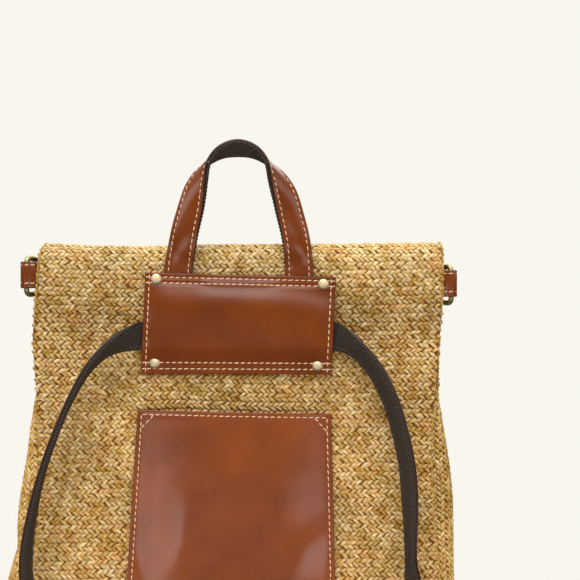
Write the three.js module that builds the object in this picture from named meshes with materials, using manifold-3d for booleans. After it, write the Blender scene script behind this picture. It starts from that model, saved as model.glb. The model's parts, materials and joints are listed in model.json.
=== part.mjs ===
// A woven straw backpack: fold-over flap, leather pocket and strap cover on the wearer's side,
// a two-ply top handle, one two-ply shoulder strap and a D ring at each upper side edge.
// Millimetres, +Z up. The wearer's side faces -Y, and +X is to the right seen from there.
import * as THREE from 'three';
import { mergeVertices } from 'three/addons/utils/BufferGeometryUtils.js';
import Module from 'manifold-3d';

const wasm = await Module();
wasm.setup();

// Driving sizes.
const GAP = 0.3; // between pieces that touch
const STRAW = 2.6; // woven wall
const HEIGHT = 310; // base to the top of the fold
const BACK_Y = -55; // outer face of the back panel
const BASE_CORNER = 34; // rounding of the lower corners, seen from the back
const RIM_Z = 268; // upper edge of front panel and gussets
const FOLD_RADIUS = 14;
const FOLD_END = THREE.MathUtils.degToRad(20); // where the fold runs into the flap
const FLAP_HEM_Z = 128;
const FLAP_CORNER = 30;
const FLAP_LIFT = 0.6; // flap above the front panel
const FLAP_HALF = { left: 136, right: 139 };
const FRONT_CROWN = { swell: 6, fade: 200, end: 290 }; // swell of the front panel, flat near the top
const FRONT_SHARE = 0.8; // front edge, between the back edge and the gusset's reach
const FRONT_CORNER = { radius: 15, share: 0.3 }; // rounding, at most this share of the body's depth

// A gusset's section, as shares of its depth. It swells out at once behind the back panel and runs
// back to the front panel in a softer curve.
const GUSSET_SHARES = [0, 0.02, 0.06, 0.16, 0.6, 0.86, 1];
const GUSSET_FULLNESS = { back: 12, front: 4 };

// The back panel's side edges turn away from the wearer, most at mid height.
const SOFT_EDGE = { wide: 26, deep: 4, from: 45, full: 95, fade: 205, end: 262 };

// Side edge of the back panel: distance from the middle line at each height.
const BACK_EDGE = [
  { z: 0, left: 141, right: 139 },
  { z: 40, left: 143, right: 140 },
  { z: 81, left: 140, right: 137 },
  { z: 116, left: 135.5, right: 133.3 },
  { z: 150, left: 134, right: 132 },
  { z: 180, left: 135.5, right: 131.4 },
  { z: 200, left: 138, right: 133.8 },
  { z: 222, left: 139.4, right: 136.2 },
  { z: 240, left: 140.4, right: 136.9 },
  { z: 257, left: 139.8, right: 139.2 },
  { z: 272, left: 139, right: 140 },
  { z: 285, left: 137.7, right: 140.8 },
  { z: 296, left: 137, right: 140.6 },
];

// How far the gusset swells out at mid depth. It sinks behind the back panel near the top,
// and the left one has a crease at z 103.
const SIDE_REACH = [
  { z: 0, left: 153, right: 148 },
  { z: 40, left: 160, right: 150 },
  { z: 81, left: 158.5, right: 148.6 },
  { z: 91, left: 155.4, right: 148.4 },
  { z: 103, left: 151.6, right: 148.3 },
  { z: 116, left: 152.4, right: 148.2 },
  { z: 133, left: 150.8, right: 147.9 },
  { z: 150, left: 148, right: 146.5 },
  { z: 165, left: 145.2, right: 144.3 },
  { z: 180, left: 143.4, right: 141.8 },
  { z: 197, left: 140.6, right: 139 },
  { z: 215, left: 137, right: 135 },
  { z: 240, left: 134, right: 131 },
  { z: RIM_Z, left: 131, right: 131 },
];

// Front panel, side view: y of its outer face at the panel's side edges.
const FRONT = [
  { z: 0, y: 48 },
  { z: 12, y: 50.5 },
  { z: 30, y: 51 },
  { z: 60, y: 46 },
  { z: 100, y: 36.5 },
  { z: 140, y: 24.5 },
  { z: 180, y: 11 },
  { z: 220, y: -4 },
  { z: 250, y: -15.8 },
  { z: 268, y: -22.3 },
  { z: 300, y: -31.5 },
];

// Half widths along the fold, from the back panel (0) over the top to the flap (1).
const FOLD_EDGE = [
  { along: 0, left: 137, right: 140.6 },
  { along: 0.3, left: 135.4, right: 140.4 },
  { along: 0.55, left: 131.5, right: 138 },
  { along: 0.8, left: 134.5, right: 138.6 },
  { along: 1, left: FLAP_HALF.left, right: FLAP_HALF.right },
];

// Unevenness of the fold's top line.
const FOLD_TOP = [
  { x: -132, rise: 0.4 },
  { x: -73, rise: -1.7 },
  { x: -20, rise: -0.2 },
  { x: 60, rise: 0 },
  { x: 138, rise: 1.3 },
];

// Leather and lining.
const LEATHER = 1.5;
const LINING = 1.2;
const PLIES = LEATHER + GAP + LINING;
const STRAP_WIDTH = 19;
const LINING_INSET = 0.4; // the lining is cut this much narrower on each edge
const FLAT_OUT = GAP + PLIES / 2; // middle of a strap that lies flat on the back panel

// Cut a little out of square: `lean` draws its upper edge to the right, `taper` makes its left side taller.
const COVER = { x: 0.3, z: 254.5, width: 129.6, height: 67.6, tilt: 0.8, lean: 0.032, taper: 0.019, thick: 1.9 };
// The cover stands off the panel over the shoulder strap and the handle's ends. Its lower edge is drawn
// down to the panel, and so is its upper edge between the handle's ends.
const TUNNEL = { low: -19, ramp: 4.2 };
const TOP_EDGE = { inner: 29, ramp: 10, high: 23.4, fall: 9 };
const COVER_LIFT = PLIES + GAP;

const RIVET = { cap: 3.7, dome: 1.9, lip: 0.6, post: 1.5, hole: 1.8, sides: 16 };
// The upper rivets sit on the raised corners, the lower ones on the sewn edge.
const RIVETS = [
  { name: 'rivet_top_left', x: -57, z: 29.5, lift: COVER_LIFT },
  { name: 'rivet_top_right', x: 56.5, z: 28.6, lift: COVER_LIFT },
  { name: 'rivet_low_left', x: -55.7, z: -26.7, lift: 0 },
  { name: 'rivet_low_right', x: 55.3, z: -27.8, lift: 0 },
];
const DRILL = { deep: 4 * COVER.thick, sides: 12 };

const POCKET = { x: -2.4, top: 195.2, width: 131.5, flare: 0.088, height: 158, tilt: 1.1, thick: 1.8 };
const POCKET_SWELL = { high: 9.5, mouth: 0.8, full: 0.3 }; // less at the mouth, full from a share down
const POCKET_SEAM = 5; // width of the sewn edge

// Handle, from its left end under the cover over the top to the right end.
// out: distance of the strap's middle from the back panel, turn: of the leather face, outwards.
const HANDLE = [
  { x: -41.6, z: 270, out: FLAT_OUT, turn: 0 },
  { x: -41.2, z: 282, out: FLAT_OUT, turn: 0 },
  { x: -40.4, z: 292, out: FLAT_OUT, turn: 0 },
  { x: -39.6, z: 299, out: 2.8, turn: 4 },
  { x: -38.2, z: 306, out: 4, turn: 12 },
  { x: -35.3, z: 320.5, out: 4.6, turn: 20 },
  { x: -32.1, z: 335.2, out: 4.6, turn: 30 },
  { x: -29.5, z: 345, out: 4, turn: 42 },
  { x: -25.8, z: 355.5, out: 3.2, turn: 63 },
  { x: -20, z: 365.2, out: 2.6, turn: 90 },
  { x: -11, z: 372.2, out: 2.2, turn: 110 },
  { x: 0, z: 374.6, out: 2, turn: 120 },
  { x: 11, z: 372.2, out: 2.2, turn: 110 },
  { x: 20, z: 365.2, out: 2.6, turn: 90 },
  { x: 26.4, z: 355.5, out: 3.2, turn: 60 },
  { x: 31, z: 345, out: 4, turn: 38 },
  { x: 34.3, z: 335.2, out: 4.6, turn: 27 },
  { x: 37.9, z: 320.5, out: 4.6, turn: 20 },
  { x: 40.4, z: 306, out: 4, turn: 12 },
  { x: 41.2, z: 299, out: 2.8, turn: 4 },
  { x: 41.6, z: 292, out: FLAT_OUT, turn: 0 },
  { x: 41.8, z: 282, out: FLAT_OUT, turn: 0 },
  { x: 41.8, z: 268, out: FLAT_OUT, turn: 0 },
];
const HANDLE_STEPS = 63;

// Shoulder strap, from its sewn left end up to the cover, through it and down to the right end.
// turn: of the lining face, away from the middle line; negative is towards it.
const STRAP = [
  { x: -127, z: 16, out: FLAT_OUT, turn: 0 },
  { x: -127, z: 26, out: FLAT_OUT, turn: 0 },
  { x: -127.2, z: 34, out: FLAT_OUT, turn: 0 },
  { x: -130, z: 47, out: 7, turn: -24 },
  { x: -136.2, z: 63, out: 15, turn: -54 },
  { x: -142.6, z: 81, out: 21, turn: -72 },
  { x: -142.8, z: 101, out: 23.5, turn: -75 },
  { x: -139.1, z: 126, out: 24.5, turn: -81 },
  { x: -132.4, z: 154, out: 24.5, turn: -86 },
  { x: -123.2, z: 181, out: 24, turn: -88 },
  { x: -112.3, z: 206, out: 22, turn: -87 },
  { x: -101.4, z: 225, out: 18.5, turn: -82 },
  { x: -90, z: 237.2, out: 13.8, turn: -72 },
  { x: -81, z: 242.7, out: 10.6, turn: -55 },
  { x: -75, z: 245.1, out: 8, turn: -38 },
  { x: -70, z: 246.3, out: 5, turn: -18 },
  { x: -66, z: 246.8, out: FLAT_OUT, turn: 0 },
  { x: -60, z: 247, out: FLAT_OUT, turn: 0 },
  { x: -40, z: 247.4, out: FLAT_OUT, turn: 0 },
  { x: 0, z: 247.3, out: FLAT_OUT, turn: 0 },
  { x: 40, z: 247, out: FLAT_OUT, turn: 0 },
  { x: 60, z: 246.6, out: FLAT_OUT, turn: 0 },
  { x: 66, z: 246.4, out: FLAT_OUT, turn: 0 },
  { x: 70, z: 245.4, out: 5.2, turn: -20 },
  { x: 75, z: 243, out: 8.6, turn: -42 },
  { x: 80.6, z: 238.7, out: 11.2, turn: -55 },
  { x: 86.2, z: 233.2, out: 13.2, turn: -59 },
  { x: 96, z: 220, out: 16, turn: -60 },
  { x: 103.6, z: 204, out: 18, turn: -62 },
  { x: 110.2, z: 182.4, out: 19.5, turn: -62 },
  { x: 114.9, z: 159.7, out: 20, turn: -62 },
  { x: 116.8, z: 136.6, out: 20, turn: -63 },
  { x: 117.3, z: 113.5, out: 18.5, turn: -72 },
  { x: 117.5, z: 98, out: 16.8, turn: -75 },
  { x: 119.3, z: 81, out: 13.5, turn: -64 },
  { x: 122, z: 63, out: 8.8, turn: -39 },
  { x: 124.4, z: 47, out: 4.4, turn: -12 },
  { x: 125.2, z: 34, out: FLAT_OUT, turn: 0 },
  { x: 125.4, z: 26, out: FLAT_OUT, turn: 0 },
  { x: 125.4, z: 16, out: FLAT_OUT, turn: 0 },
];
const STRAP_STEPS = 102;

// D rings and the leather loops that hold them.
const RING = { wire: 3.6, tall: 24.6, deep: 16, corner: 3.2, straight: 4, drop: 1, rest: 42 };
const RING_STEPS = 38;
const RING_SIDES = 8;
const TAB = { thick: 1.9, tall: 18.3, slack: 0.4, throat: 7.5, tail: 19 };
const TAB_MOUTH = THREE.MathUtils.degToRad(40); // half of the roll's open part, where its ends come together
const TAB_SEAT = 0.8; // tab's ends to the panel's inner face, which begins to curve there
const SIDES = [
  { name: 'left', sign: -1, x: -144.1, z: 288.3 },
  { name: 'right', sign: 1, x: 145.2, z: 282.5 },
];

// Reads one column of a table between its rows, along a smooth curve through them.
function read(table, along, at, column) {
  const last = table.length - 1;
  const place = THREE.MathUtils.clamp(at, table[0][along], table[last][along]);
  let row = 0;
  while (row < last - 1 && table[row + 1][along] <= place) row += 1;
  const slope = (index) => {
    const before = table[Math.max(index - 1, 0)];
    const after = table[Math.min(index + 1, last)];
    return (after[column] - before[column]) / (after[along] - before[along]);
  };
  const span = table[row + 1][along] - table[row][along];
  const t = (place - table[row][along]) / span;
  const from = table[row][column];
  const to = table[row + 1][column];
  const ease = t * t * (3 - 2 * t);
  const bend = span * t * (1 - t) * ((1 - t) * slope(row) - t * slope(row + 1));
  return from + (to - from) * ease + bend;
}

// How far a rounded corner draws an edge in, at a height above its end.
function cornerInset(height, radius) {
  const missing = Math.max(radius - height, 0);
  return radius - Math.sqrt(radius * radius - missing * missing);
}

// Closed solid through a row of rings with equal numbers of points. A looped solid joins its last
// ring to the first; otherwise each end is closed, by a fan or, for a thin sheet, by a strip.
// The two halves of a ring are split along matching diagonals, so a twisted sheet keeps its thickness.
function loft(rings, { loop = false, strip = false } = {}) {
  const count = rings[0].length;
  const points = rings.flat();
  const index = [];
  const spans = loop ? rings.length : rings.length - 1;
  for (let r = 0; r < spans; r += 1) {
    const here = r * count;
    const next = ((r + 1) % rings.length) * count;
    for (let i = 0; i < count; i += 1) {
      const j = (i + 1) % count;
      if (i < count / 2) index.push(here + i, next + i, next + j, here + i, next + j, here + j);
      else index.push(here + i, next + i, here + j, here + j, next + i, next + j);
    }
  }
  const close = (start, turned) => {
    const face = (a, b, c) => (turned ? index.push(a, c, b) : index.push(a, b, c));
    if (strip) {
      for (let i = 0; i < count / 2 - 1; i += 1) {
        const far = count - 1 - i;
        face(start + i, start + i + 1, start + far);
        face(start + i + 1, start + far - 1, start + far);
      }
      return;
    }
    const middle = new THREE.Vector3();
    for (let i = 0; i < count; i += 1) middle.addScaledVector(points[start + i], 1 / count);
    points.push(middle);
    for (let i = 0; i < count; i += 1) face(start + i, start + ((i + 1) % count), points.length - 1);
  };
  if (!loop) {
    close(0, false);
    close((rings.length - 1) * count, true);
  }
  const geometry = new THREE.BufferGeometry().setFromPoints(points);
  geometry.setIndex(index);
  return facingOut(geometry);
}

// Turns the faces round if the solid came out inside out.
function facingOut(geometry) {
  const position = geometry.getAttribute('position');
  const corner = (i) => new THREE.Vector3().fromBufferAttribute(position, geometry.index.getX(i));
  let volume = 0;
  for (let i = 0; i < geometry.index.count; i += 3) {
    volume += corner(i).dot(corner(i + 1).cross(corner(i + 2)));
  }
  if (volume < 0) geometry.setIndex([...geometry.index.array].reverse());
  geometry.computeVertexNormals();
  return geometry;
}

function toSolid(geometry) {
  const plain = geometry.clone();
  plain.deleteAttribute('normal');
  plain.deleteAttribute('uv');
  const merged = mergeVertices(plain, 1e-3);
  return new wasm.Manifold(new wasm.Mesh({
    numProp: 3,
    vertProperties: merged.getAttribute('position').array,
    triVerts: new Uint32Array(merged.index.array),
  }));
}

function fromSolid(solid) {
  const mesh = solid.getMesh();
  const geometry = new THREE.BufferGeometry();
  geometry.setAttribute('position', new THREE.BufferAttribute(mesh.vertProperties, 3));
  geometry.setIndex(new THREE.BufferAttribute(mesh.triVerts, 1));
  geometry.computeVertexNormals();
  return geometry;
}

const steps = (count) => Array.from({ length: count + 1 }, (_, i) => i / count);
const between = (from, to, count) => steps(count).map((share) => from + (to - from) * share);

// Heights of a rounded corner's sections, from its end upwards.
const cornerHeights = (radius, count) => steps(count).map((t) => radius * (1 - Math.cos((t * Math.PI) / 2)));

// Outer face of the front panel at a place: the panel's side view, plus its swell.
function frontFace(x, z) {
  const side = x < 0 ? 'left' : 'right';
  const half = frontHalf(z, side) - FRONT_CORNER.radius;
  const across = Math.min(Math.abs(x) / half, 1);
  const crown = 1 - THREE.MathUtils.smoothstep(z, FRONT_CROWN.fade, FRONT_CROWN.end);
  return read(FRONT, 'z', z, 'y') + FRONT_CROWN.swell * crown * (1 - across * across);
}

function frontHalf(z, side) {
  const back = read(BACK_EDGE, 'z', z, side);
  const reach = read(SIDE_REACH, 'z', z, side);
  return back + (reach - back) * FRONT_SHARE;
}

// Outer face of the back panel at a place.
function backFace(x, z) {
  const { smoothstep } = THREE.MathUtils;
  const edge = read(BACK_EDGE, 'z', z, x < 0 ? 'left' : 'right');
  const near = smoothstep(Math.abs(x), edge - SOFT_EDGE.wide, edge + SOFT_EDGE.wide / 2);
  const begin = smoothstep(z, SOFT_EDGE.from, SOFT_EDGE.full);
  const end = smoothstep(z, SOFT_EDGE.fade, SOFT_EDGE.end);
  return BACK_Y + SOFT_EDGE.deep * near * begin * (1 - end);
}

// Back panel, fold and flap: one sheet, as rows from the base up, over the fold and down the front.
function backFlapSheet() {
  const columns = steps(12).map((t) => (1 - Math.cos(t * Math.PI)) / 2);
  const foldY = BACK_Y + FOLD_RADIUS;
  const foldZ = HEIGHT - FOLD_RADIUS;
  const corner = cornerHeights(BASE_CORNER, 6);
  const levels = BACK_EDGE.map((row) => row.z).filter((z) => z > BASE_CORNER && z < foldZ);
  const backHeights = [...corner, ...levels];
  const hem = cornerHeights(FLAP_CORNER, 6).map((rise) => FLAP_HEM_Z + rise).reverse();
  const flapHeights = [...between(foldZ - FOLD_RADIUS / 2, hem[0], 7).slice(0, -1), ...hem];
  const rows = [];
  backHeights.forEach((z) => {
    const inset = cornerInset(z, BASE_CORNER);
    rows.push({
      left: read(BACK_EDGE, 'z', z, 'left') - inset,
      right: read(BACK_EDGE, 'z', z, 'right') - inset,
      at: (x) => ({ y: backFace(x, z), z, angle: Math.PI }),
    });
  });
  steps(10).forEach((along) => {
    const angle = Math.PI + (FOLD_END - Math.PI) * along;
    rows.push({
      left: read(FOLD_EDGE, 'along', along, 'left'),
      right: read(FOLD_EDGE, 'along', along, 'right'),
      at: (x) => {
        const rise = read(FOLD_TOP, 'x', x, 'rise') * Math.max(Math.sin(angle), 0);
        return {
          y: foldY + FOLD_RADIUS * Math.cos(angle),
          z: foldZ + FOLD_RADIUS * Math.sin(angle) + rise,
          angle,
        };
      },
    });
  });
  flapHeights.forEach((z) => {
    const inset = cornerInset(z - FLAP_HEM_Z, FLAP_CORNER);
    const angle = Math.atan2(frontFace(0, z - STRAW) - frontFace(0, z + STRAW), 2 * STRAW);
    const lift = (FLAP_LIFT + STRAW) / Math.cos(angle);
    rows.push({
      left: FLAP_HALF.left - inset,
      right: FLAP_HALF.right - inset,
      at: (x) => ({ y: frontFace(x, z) + lift, z, angle }),
    });
  });
  const rings = rows.map((row) => {
    const outer = [];
    const inner = [];
    columns.forEach((share) => {
      const x = -row.left + (row.left + row.right) * share;
      const { y, z, angle } = row.at(x);
      outer.push(new THREE.Vector3(x, y, z));
      inner.unshift(new THREE.Vector3(x, y - STRAW * Math.cos(angle), z - STRAW * Math.sin(angle)));
    });
    return [...outer, ...inner];
  });
  return loft(rings, { strip: true });
}

// One level of the body behind the back panel: right gusset, front panel, left gusset.
// The inner ring of the hollow runs on past the back panel, which closes it.
function bodyRing(z, hollow) {
  const inset = hollow ? STRAW : 0;
  const corner = cornerInset(z - inset, BASE_CORNER - inset) + inset;
  const sideOf = (side, sign) => {
    const back = read(BACK_EDGE, 'z', z, side) - corner;
    const backY = backFace(sign * (back + corner), z) + STRAW + GAP;
    const front = frontHalf(z, side) - corner;
    const reach = read(SIDE_REACH, 'z', z, side) - corner;
    const frontY = read(FRONT, 'z', z, 'y') - inset;
    const radius = Math.min(FRONT_CORNER.radius, (frontY - backY) * FRONT_CORNER.share) - inset;
    const points = hollow ? [new THREE.Vector3(sign * back, BACK_Y - STRAW, z)] : [];
    const wallY = backY + inset;
    GUSSET_SHARES.forEach((share) => {
      const edge = share < 0.5 ? back : front;
      const fullness = share < 0.5 ? GUSSET_FULLNESS.back : GUSSET_FULLNESS.front;
      const x = edge + (reach - edge) * (1 - Math.abs(2 * share - 1) ** fullness);
      const y = wallY + (frontY - radius - wallY) * share;
      points.push(new THREE.Vector3(sign * x, y, z));
    });
    between(0, Math.PI / 2, 3).slice(1).forEach((angle) => {
      const x = front - radius + radius * Math.cos(angle);
      points.push(new THREE.Vector3(sign * x, frontY - radius + radius * Math.sin(angle), z));
    });
    return points;
  };
  const right = sideOf('right', 1);
  const left = sideOf('left', -1);
  const from = right[right.length - 1];
  const to = left[left.length - 1];
  const front = steps(8).slice(1, -1).map((share) => {
    const x = from.x + (to.x - from.x) * share;
    return new THREE.Vector3(x, frontFace(x, z) - inset, z);
  });
  return [...right, ...front, ...left.reverse()];
}

function frontSidesShell() {
  const corner = cornerHeights(BASE_CORNER, 6);
  const innerCorner = cornerHeights(BASE_CORNER - STRAW, 6).map((rise) => STRAW + rise);
  const levels = SIDE_REACH.map((row) => row.z).filter((z) => z > BASE_CORNER);
  const outer = loft([...corner, ...levels].map((z) => bodyRing(z, false)));
  const inner = loft([...innerCorner, ...levels, RIM_Z + STRAW].map((z) => bodyRing(z, true)));
  return fromSolid(toSolid(outer).subtract(toSolid(inner)));
}

// A leather sheet on the back panel, about its own middle. `lift` is its height above the panel.
function leatherSheet(columns, rows, thick, place, lift) {
  const rings = rows.map((v) => {
    const outer = [];
    const inner = [];
    columns.forEach((u) => {
      const { x, z } = place(u, v);
      const y = -GAP - lift(x, z, u, v);
      outer.push(new THREE.Vector3(x, y - thick, z));
      inner.unshift(new THREE.Vector3(x, y, z));
    });
    return [...outer, ...inner];
  });
  return loft(rings, { strip: true });
}

// Where a place on a plain rectangle comes to lie on the cover.
function onCover(x, z) {
  return { x: x + COVER.lean * z, z: z * (1 - (COVER.taper * x) / (COVER.width / 2)) };
}

function coverGeometry() {
  const { smoothstep } = THREE.MathUtils;
  const top = COVER.height / 2;
  const { low, ramp } = TUNNEL;
  const lowEdge = [-top, (low - ramp - top) / 2, ...between(low - ramp, low, 4)];
  const highEdge = between(TOP_EDGE.high, top, 4);
  const rows = [...lowEdge, ...between(low, TOP_EDGE.high, 4).slice(1, -1), ...highEdge];
  const shareOf = (x) => 0.5 - x / COVER.width;
  const outerColumns = between(0, shareOf(TOP_EDGE.inner), 4);
  const rampColumns = between(TOP_EDGE.inner, TOP_EDGE.inner - TOP_EDGE.ramp, 3).map(shareOf);
  const innerColumns = between(shareOf(TOP_EDGE.inner - TOP_EDGE.ramp), 0.5, 2);
  const leftHalf = [...outerColumns, ...rampColumns.slice(1), ...innerColumns.slice(1, -1)];
  const columns = [...leftHalf, 0.5, ...leftHalf.map((u) => 1 - u).reverse()];
  const place = (u, up) => onCover((u - 0.5) * COVER.width, up);
  const lift = (x, z, u, up) => {
    const out = Math.abs(u - 0.5) * COVER.width;
    const rise = smoothstep(up, low - ramp, low);
    const inside = 1 - smoothstep(out, TOP_EDGE.inner - TOP_EDGE.ramp, TOP_EDGE.inner);
    const fall = inside * smoothstep(up, TOP_EDGE.high, TOP_EDGE.high + TOP_EDGE.fall);
    return COVER_LIFT * rise * (1 - fall);
  };
  const sheet = leatherSheet(columns, rows, COVER.thick, place, lift);
  let solid = toSolid(sheet);
  rivetPlaces().forEach(({ x, z, lift: seat }) => {
    const drill = new THREE.CylinderGeometry(RIVET.hole, RIVET.hole, DRILL.deep, DRILL.sides);
    drill.translate(x, -GAP - seat, z);
    solid = solid.subtract(toSolid(drill));
  });
  return fromSolid(solid);
}

function rivetPlaces() {
  return RIVETS.map(({ name, x, z, lift }) => ({ name, ...onCover(x, z), lift }));
}

// Domed cap and its post, turned about the post, which ends at the panel.
function rivetGeometry(lift) {
  const reach = lift + COVER.thick + GAP;
  const post = [[0, 0], [RIVET.post, 0], [RIVET.post, reach], [RIVET.cap, reach]];
  const profile = post.map(([radius, height]) => new THREE.Vector2(radius, height));
  profile.push(new THREE.Vector2(RIVET.cap, reach + RIVET.lip));
  between(0, Math.PI / 2, 4).slice(1, -1).forEach((angle) => {
    const rise = (RIVET.dome - RIVET.lip) * Math.sin(angle);
    profile.push(new THREE.Vector2(RIVET.cap * Math.cos(angle), reach + RIVET.lip + rise));
  });
  profile.push(new THREE.Vector2(0, reach + RIVET.dome));
  return new THREE.LatheGeometry(profile, RIVET.sides);
}

function pocketGeometry() {
  const place = (u, v) => {
    const below = v * POCKET.height;
    return { x: (u - 0.5) * (POCKET.width + POCKET.flare * below), z: -below };
  };
  const lift = (x, z, u, v) => {
    const seam = POCKET_SEAM / POCKET.width;
    const across = THREE.MathUtils.clamp((u - seam) / (1 - 2 * seam), 0, 1) * 2 - 1;
    const down = THREE.MathUtils.clamp(v / (1 - POCKET_SEAM / POCKET.height), 0, 1);
    const open = THREE.MathUtils.smoothstep(v, 0, POCKET_SWELL.full);
    const mouth = POCKET_SWELL.mouth + (1 - POCKET_SWELL.mouth) * open;
    return POCKET_SWELL.high * mouth * (1 - across * across) * (1 - down * down * down);
  };
  const seamShare = POCKET_SEAM / POCKET.width;
  const columns = [0, ...between(seamShare, 1 - seamShare, 13), 1];
  return leatherSheet(columns, steps(12), POCKET.thick, place, lift);
}

// One ply of a flat strap along a table of places. `above` is how far the ply's middle lies
// from the strap's middle, towards the face that `turn` describes.
function plyGeometry(table, count, width, thick, above) {
  const places = table.map((row) => new THREE.Vector3(row.x, BACK_Y - row.out, row.z));
  const path = new THREE.CatmullRomCurve3(places);
  const turns = new THREE.CatmullRomCurve3(table.map((row) => new THREE.Vector3(row.turn, row.out, 0)));
  const depth = new THREE.Vector3(0, 1, 0);
  const rings = steps(count).map((share) => {
    const middle = path.getPoint(share);
    middle.y = Math.min(middle.y, BACK_Y - FLAT_OUT);
    const ahead = path.getTangent(share);
    const outward = ahead.clone().cross(depth).normalize();
    const viewer = ahead.clone().cross(outward);
    const angle = THREE.MathUtils.degToRad(turns.getPoint(share).x);
    const normal = viewer.multiplyScalar(Math.cos(angle)).addScaledVector(outward, Math.sin(angle));
    const across = ahead.clone().cross(normal);
    return [[-1, -1], [1, -1], [1, 1], [-1, 1]].map(([side, face]) => middle.clone()
      .addScaledVector(across, (side * width) / 2)
      .addScaledVector(normal, above + (face * thick) / 2));
  });
  return loft(rings);
}

// Leather folded round the ring's bar, its two ends sewn together inside the back panel's edge.
function tabGeometry() {
  const hole = RING.wire / 2 + TAB.slack;
  const outside = hole + TAB.thick;
  const shape = new THREE.Shape();
  shape.absarc(0, 0, outside, TAB_MOUTH, 2 * Math.PI - TAB_MOUTH, false);
  shape.lineTo(TAB.throat, -TAB.thick);
  shape.lineTo(TAB.tail, -TAB.thick);
  shape.lineTo(TAB.tail, TAB.thick);
  shape.lineTo(TAB.throat, TAB.thick);
  shape.closePath();
  shape.holes.push(new THREE.Path().absarc(0, 0, hole, 0, 2 * Math.PI, true));
  const pull = { depth: TAB.tall, bevelEnabled: false, curveSegments: 14 };
  const geometry = new THREE.ExtrudeGeometry(shape, pull);
  return geometry.translate(0, 0, -TAB.tall / 2);
}

// D ring: round wire about a straight bar on the Z axis, the bow towards +Y.
function ringGeometry() {
  const half = RING.tall / 2;
  const line = new THREE.Path();
  line.moveTo(0, -half + RING.corner);
  line.lineTo(0, half - RING.corner);
  line.absarc(RING.corner, half - RING.corner, RING.corner, Math.PI, Math.PI / 2, true);
  line.lineTo(RING.straight, half);
  line.absellipse(RING.straight, 0, RING.deep - RING.straight, half, Math.PI / 2, -Math.PI / 2, true);
  line.lineTo(RING.corner, -half);
  line.absarc(RING.corner, -half + RING.corner, RING.corner, -Math.PI / 2, -Math.PI, true);
  const places = line.getSpacedPoints(RING_STEPS).slice(0, -1);
  const rings = places.map((place, i) => {
    const before = places[(i + places.length - 1) % places.length];
    const after = places[(i + 1) % places.length];
    const side = new THREE.Vector2().subVectors(after, before).normalize();
    return steps(RING_SIDES).slice(0, -1).map((share) => {
      const angle = share * 2 * Math.PI;
      const across = (RING.wire / 2) * Math.cos(angle);
      const y = place.x + side.y * across;
      const z = place.y - side.x * across;
      return new THREE.Vector3((RING.wire / 2) * Math.sin(angle), y, z);
    });
  });
  return loft(rings, { loop: true });
}

const LOOKS = {
  straw: { color: 0xc4a06a, roughness: 0.75, metalness: 0 },
  leather: { color: 0x8a4c26, roughness: 0.45, metalness: 0 },
  lining: { color: 0x3e3836, roughness: 0.85, metalness: 0 },
  brass: { color: 0xc8b98c, roughness: 0.35, metalness: 0.9 },
};

function piece(name, geometry, look) {
  const mesh = new THREE.Mesh(geometry, new THREE.MeshStandardMaterial(LOOKS[look]));
  mesh.name = name;
  return mesh;
}

const backpack = new THREE.Group();
backpack.name = 'woven_straw_backpack';
backpack.add(piece('woven_back_flap', backFlapSheet(), 'straw'));
backpack.add(piece('woven_front_sides', frontSidesShell(), 'straw'));

// The cover with its rivets, and the pocket, are sewn on a little askew.
const cover = new THREE.Group();
cover.position.set(COVER.x, BACK_Y, COVER.z);
cover.rotation.y = THREE.MathUtils.degToRad(COVER.tilt);
cover.add(piece('strap_cover', coverGeometry(), 'leather'));
rivetPlaces().forEach(({ name, x, z, lift }) => {
  const rivet = piece(name, rivetGeometry(lift), 'brass');
  rivet.rotation.x = Math.PI;
  rivet.position.set(x, -GAP, z);
  cover.add(rivet);
});
backpack.add(cover);

const pocket = piece('back_pocket', pocketGeometry(), 'leather');
pocket.position.set(POCKET.x, BACK_Y, POCKET.top);
pocket.rotation.y = THREE.MathUtils.degToRad(POCKET.tilt);
backpack.add(pocket);

const leatherAbove = (GAP + LINING) / 2;
const liningBelow = -(GAP + LEATHER) / 2;
const liningWidth = STRAP_WIDTH - 2 * LINING_INSET;
const handleLeather = plyGeometry(HANDLE, HANDLE_STEPS, STRAP_WIDTH, LEATHER, leatherAbove);
const handleLining = plyGeometry(HANDLE, HANDLE_STEPS, liningWidth, LINING, liningBelow);
backpack.add(piece('handle_leather', handleLeather, 'leather'));
backpack.add(piece('handle_lining', handleLining, 'lining'));
const strapLeather = plyGeometry(STRAP, STRAP_STEPS, STRAP_WIDTH, LEATHER, -leatherAbove);
const strapLining = plyGeometry(STRAP, STRAP_STEPS, liningWidth, LINING, -liningBelow);
backpack.add(piece('strap_leather', strapLeather, 'leather'));
backpack.add(piece('strap_lining', strapLining, 'lining'));

SIDES.forEach(({ name, sign, x, z }) => {
  const barY = BACK_Y + STRAW + TAB_SEAT + TAB.thick;
  const tab = piece(`side_tab_${name}`, tabGeometry(), 'leather');
  tab.position.set(x, barY, z);
  tab.rotation.z = sign > 0 ? Math.PI : 0;
  backpack.add(tab);
  const ring = piece(`side_ring_${name}`, ringGeometry(), 'brass');
  ring.position.set(x, barY, z - RING.drop);
  ring.rotation.z = sign * THREE.MathUtils.degToRad(RING.rest);
  backpack.add(ring);
});

export default backpack;
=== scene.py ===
# %% [markdown]
# # A woven straw backpack, seen from the side that the wearer leans on
#
# The bag is a straw body whose back panel folds over the top and becomes the flap. Brown leather sits on
# the wearer's side: a flat pocket and a cover that hides where the straps are sewn on. A handle, one long
# shoulder strap and two brass rings complete it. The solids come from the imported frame, and this lesson
# dresses them: plaited straw for the smooth walls, and leather with soft edges, grain and stitches.
# Everything is in metres, in the frame's own axes: +Z is up and the wearer's side faces -Y.

# %% The frame
import json
import math

import bmesh
import bpy
import numpy as np
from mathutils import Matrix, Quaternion, Vector
from mathutils.bvhtree import BVHTree


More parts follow.
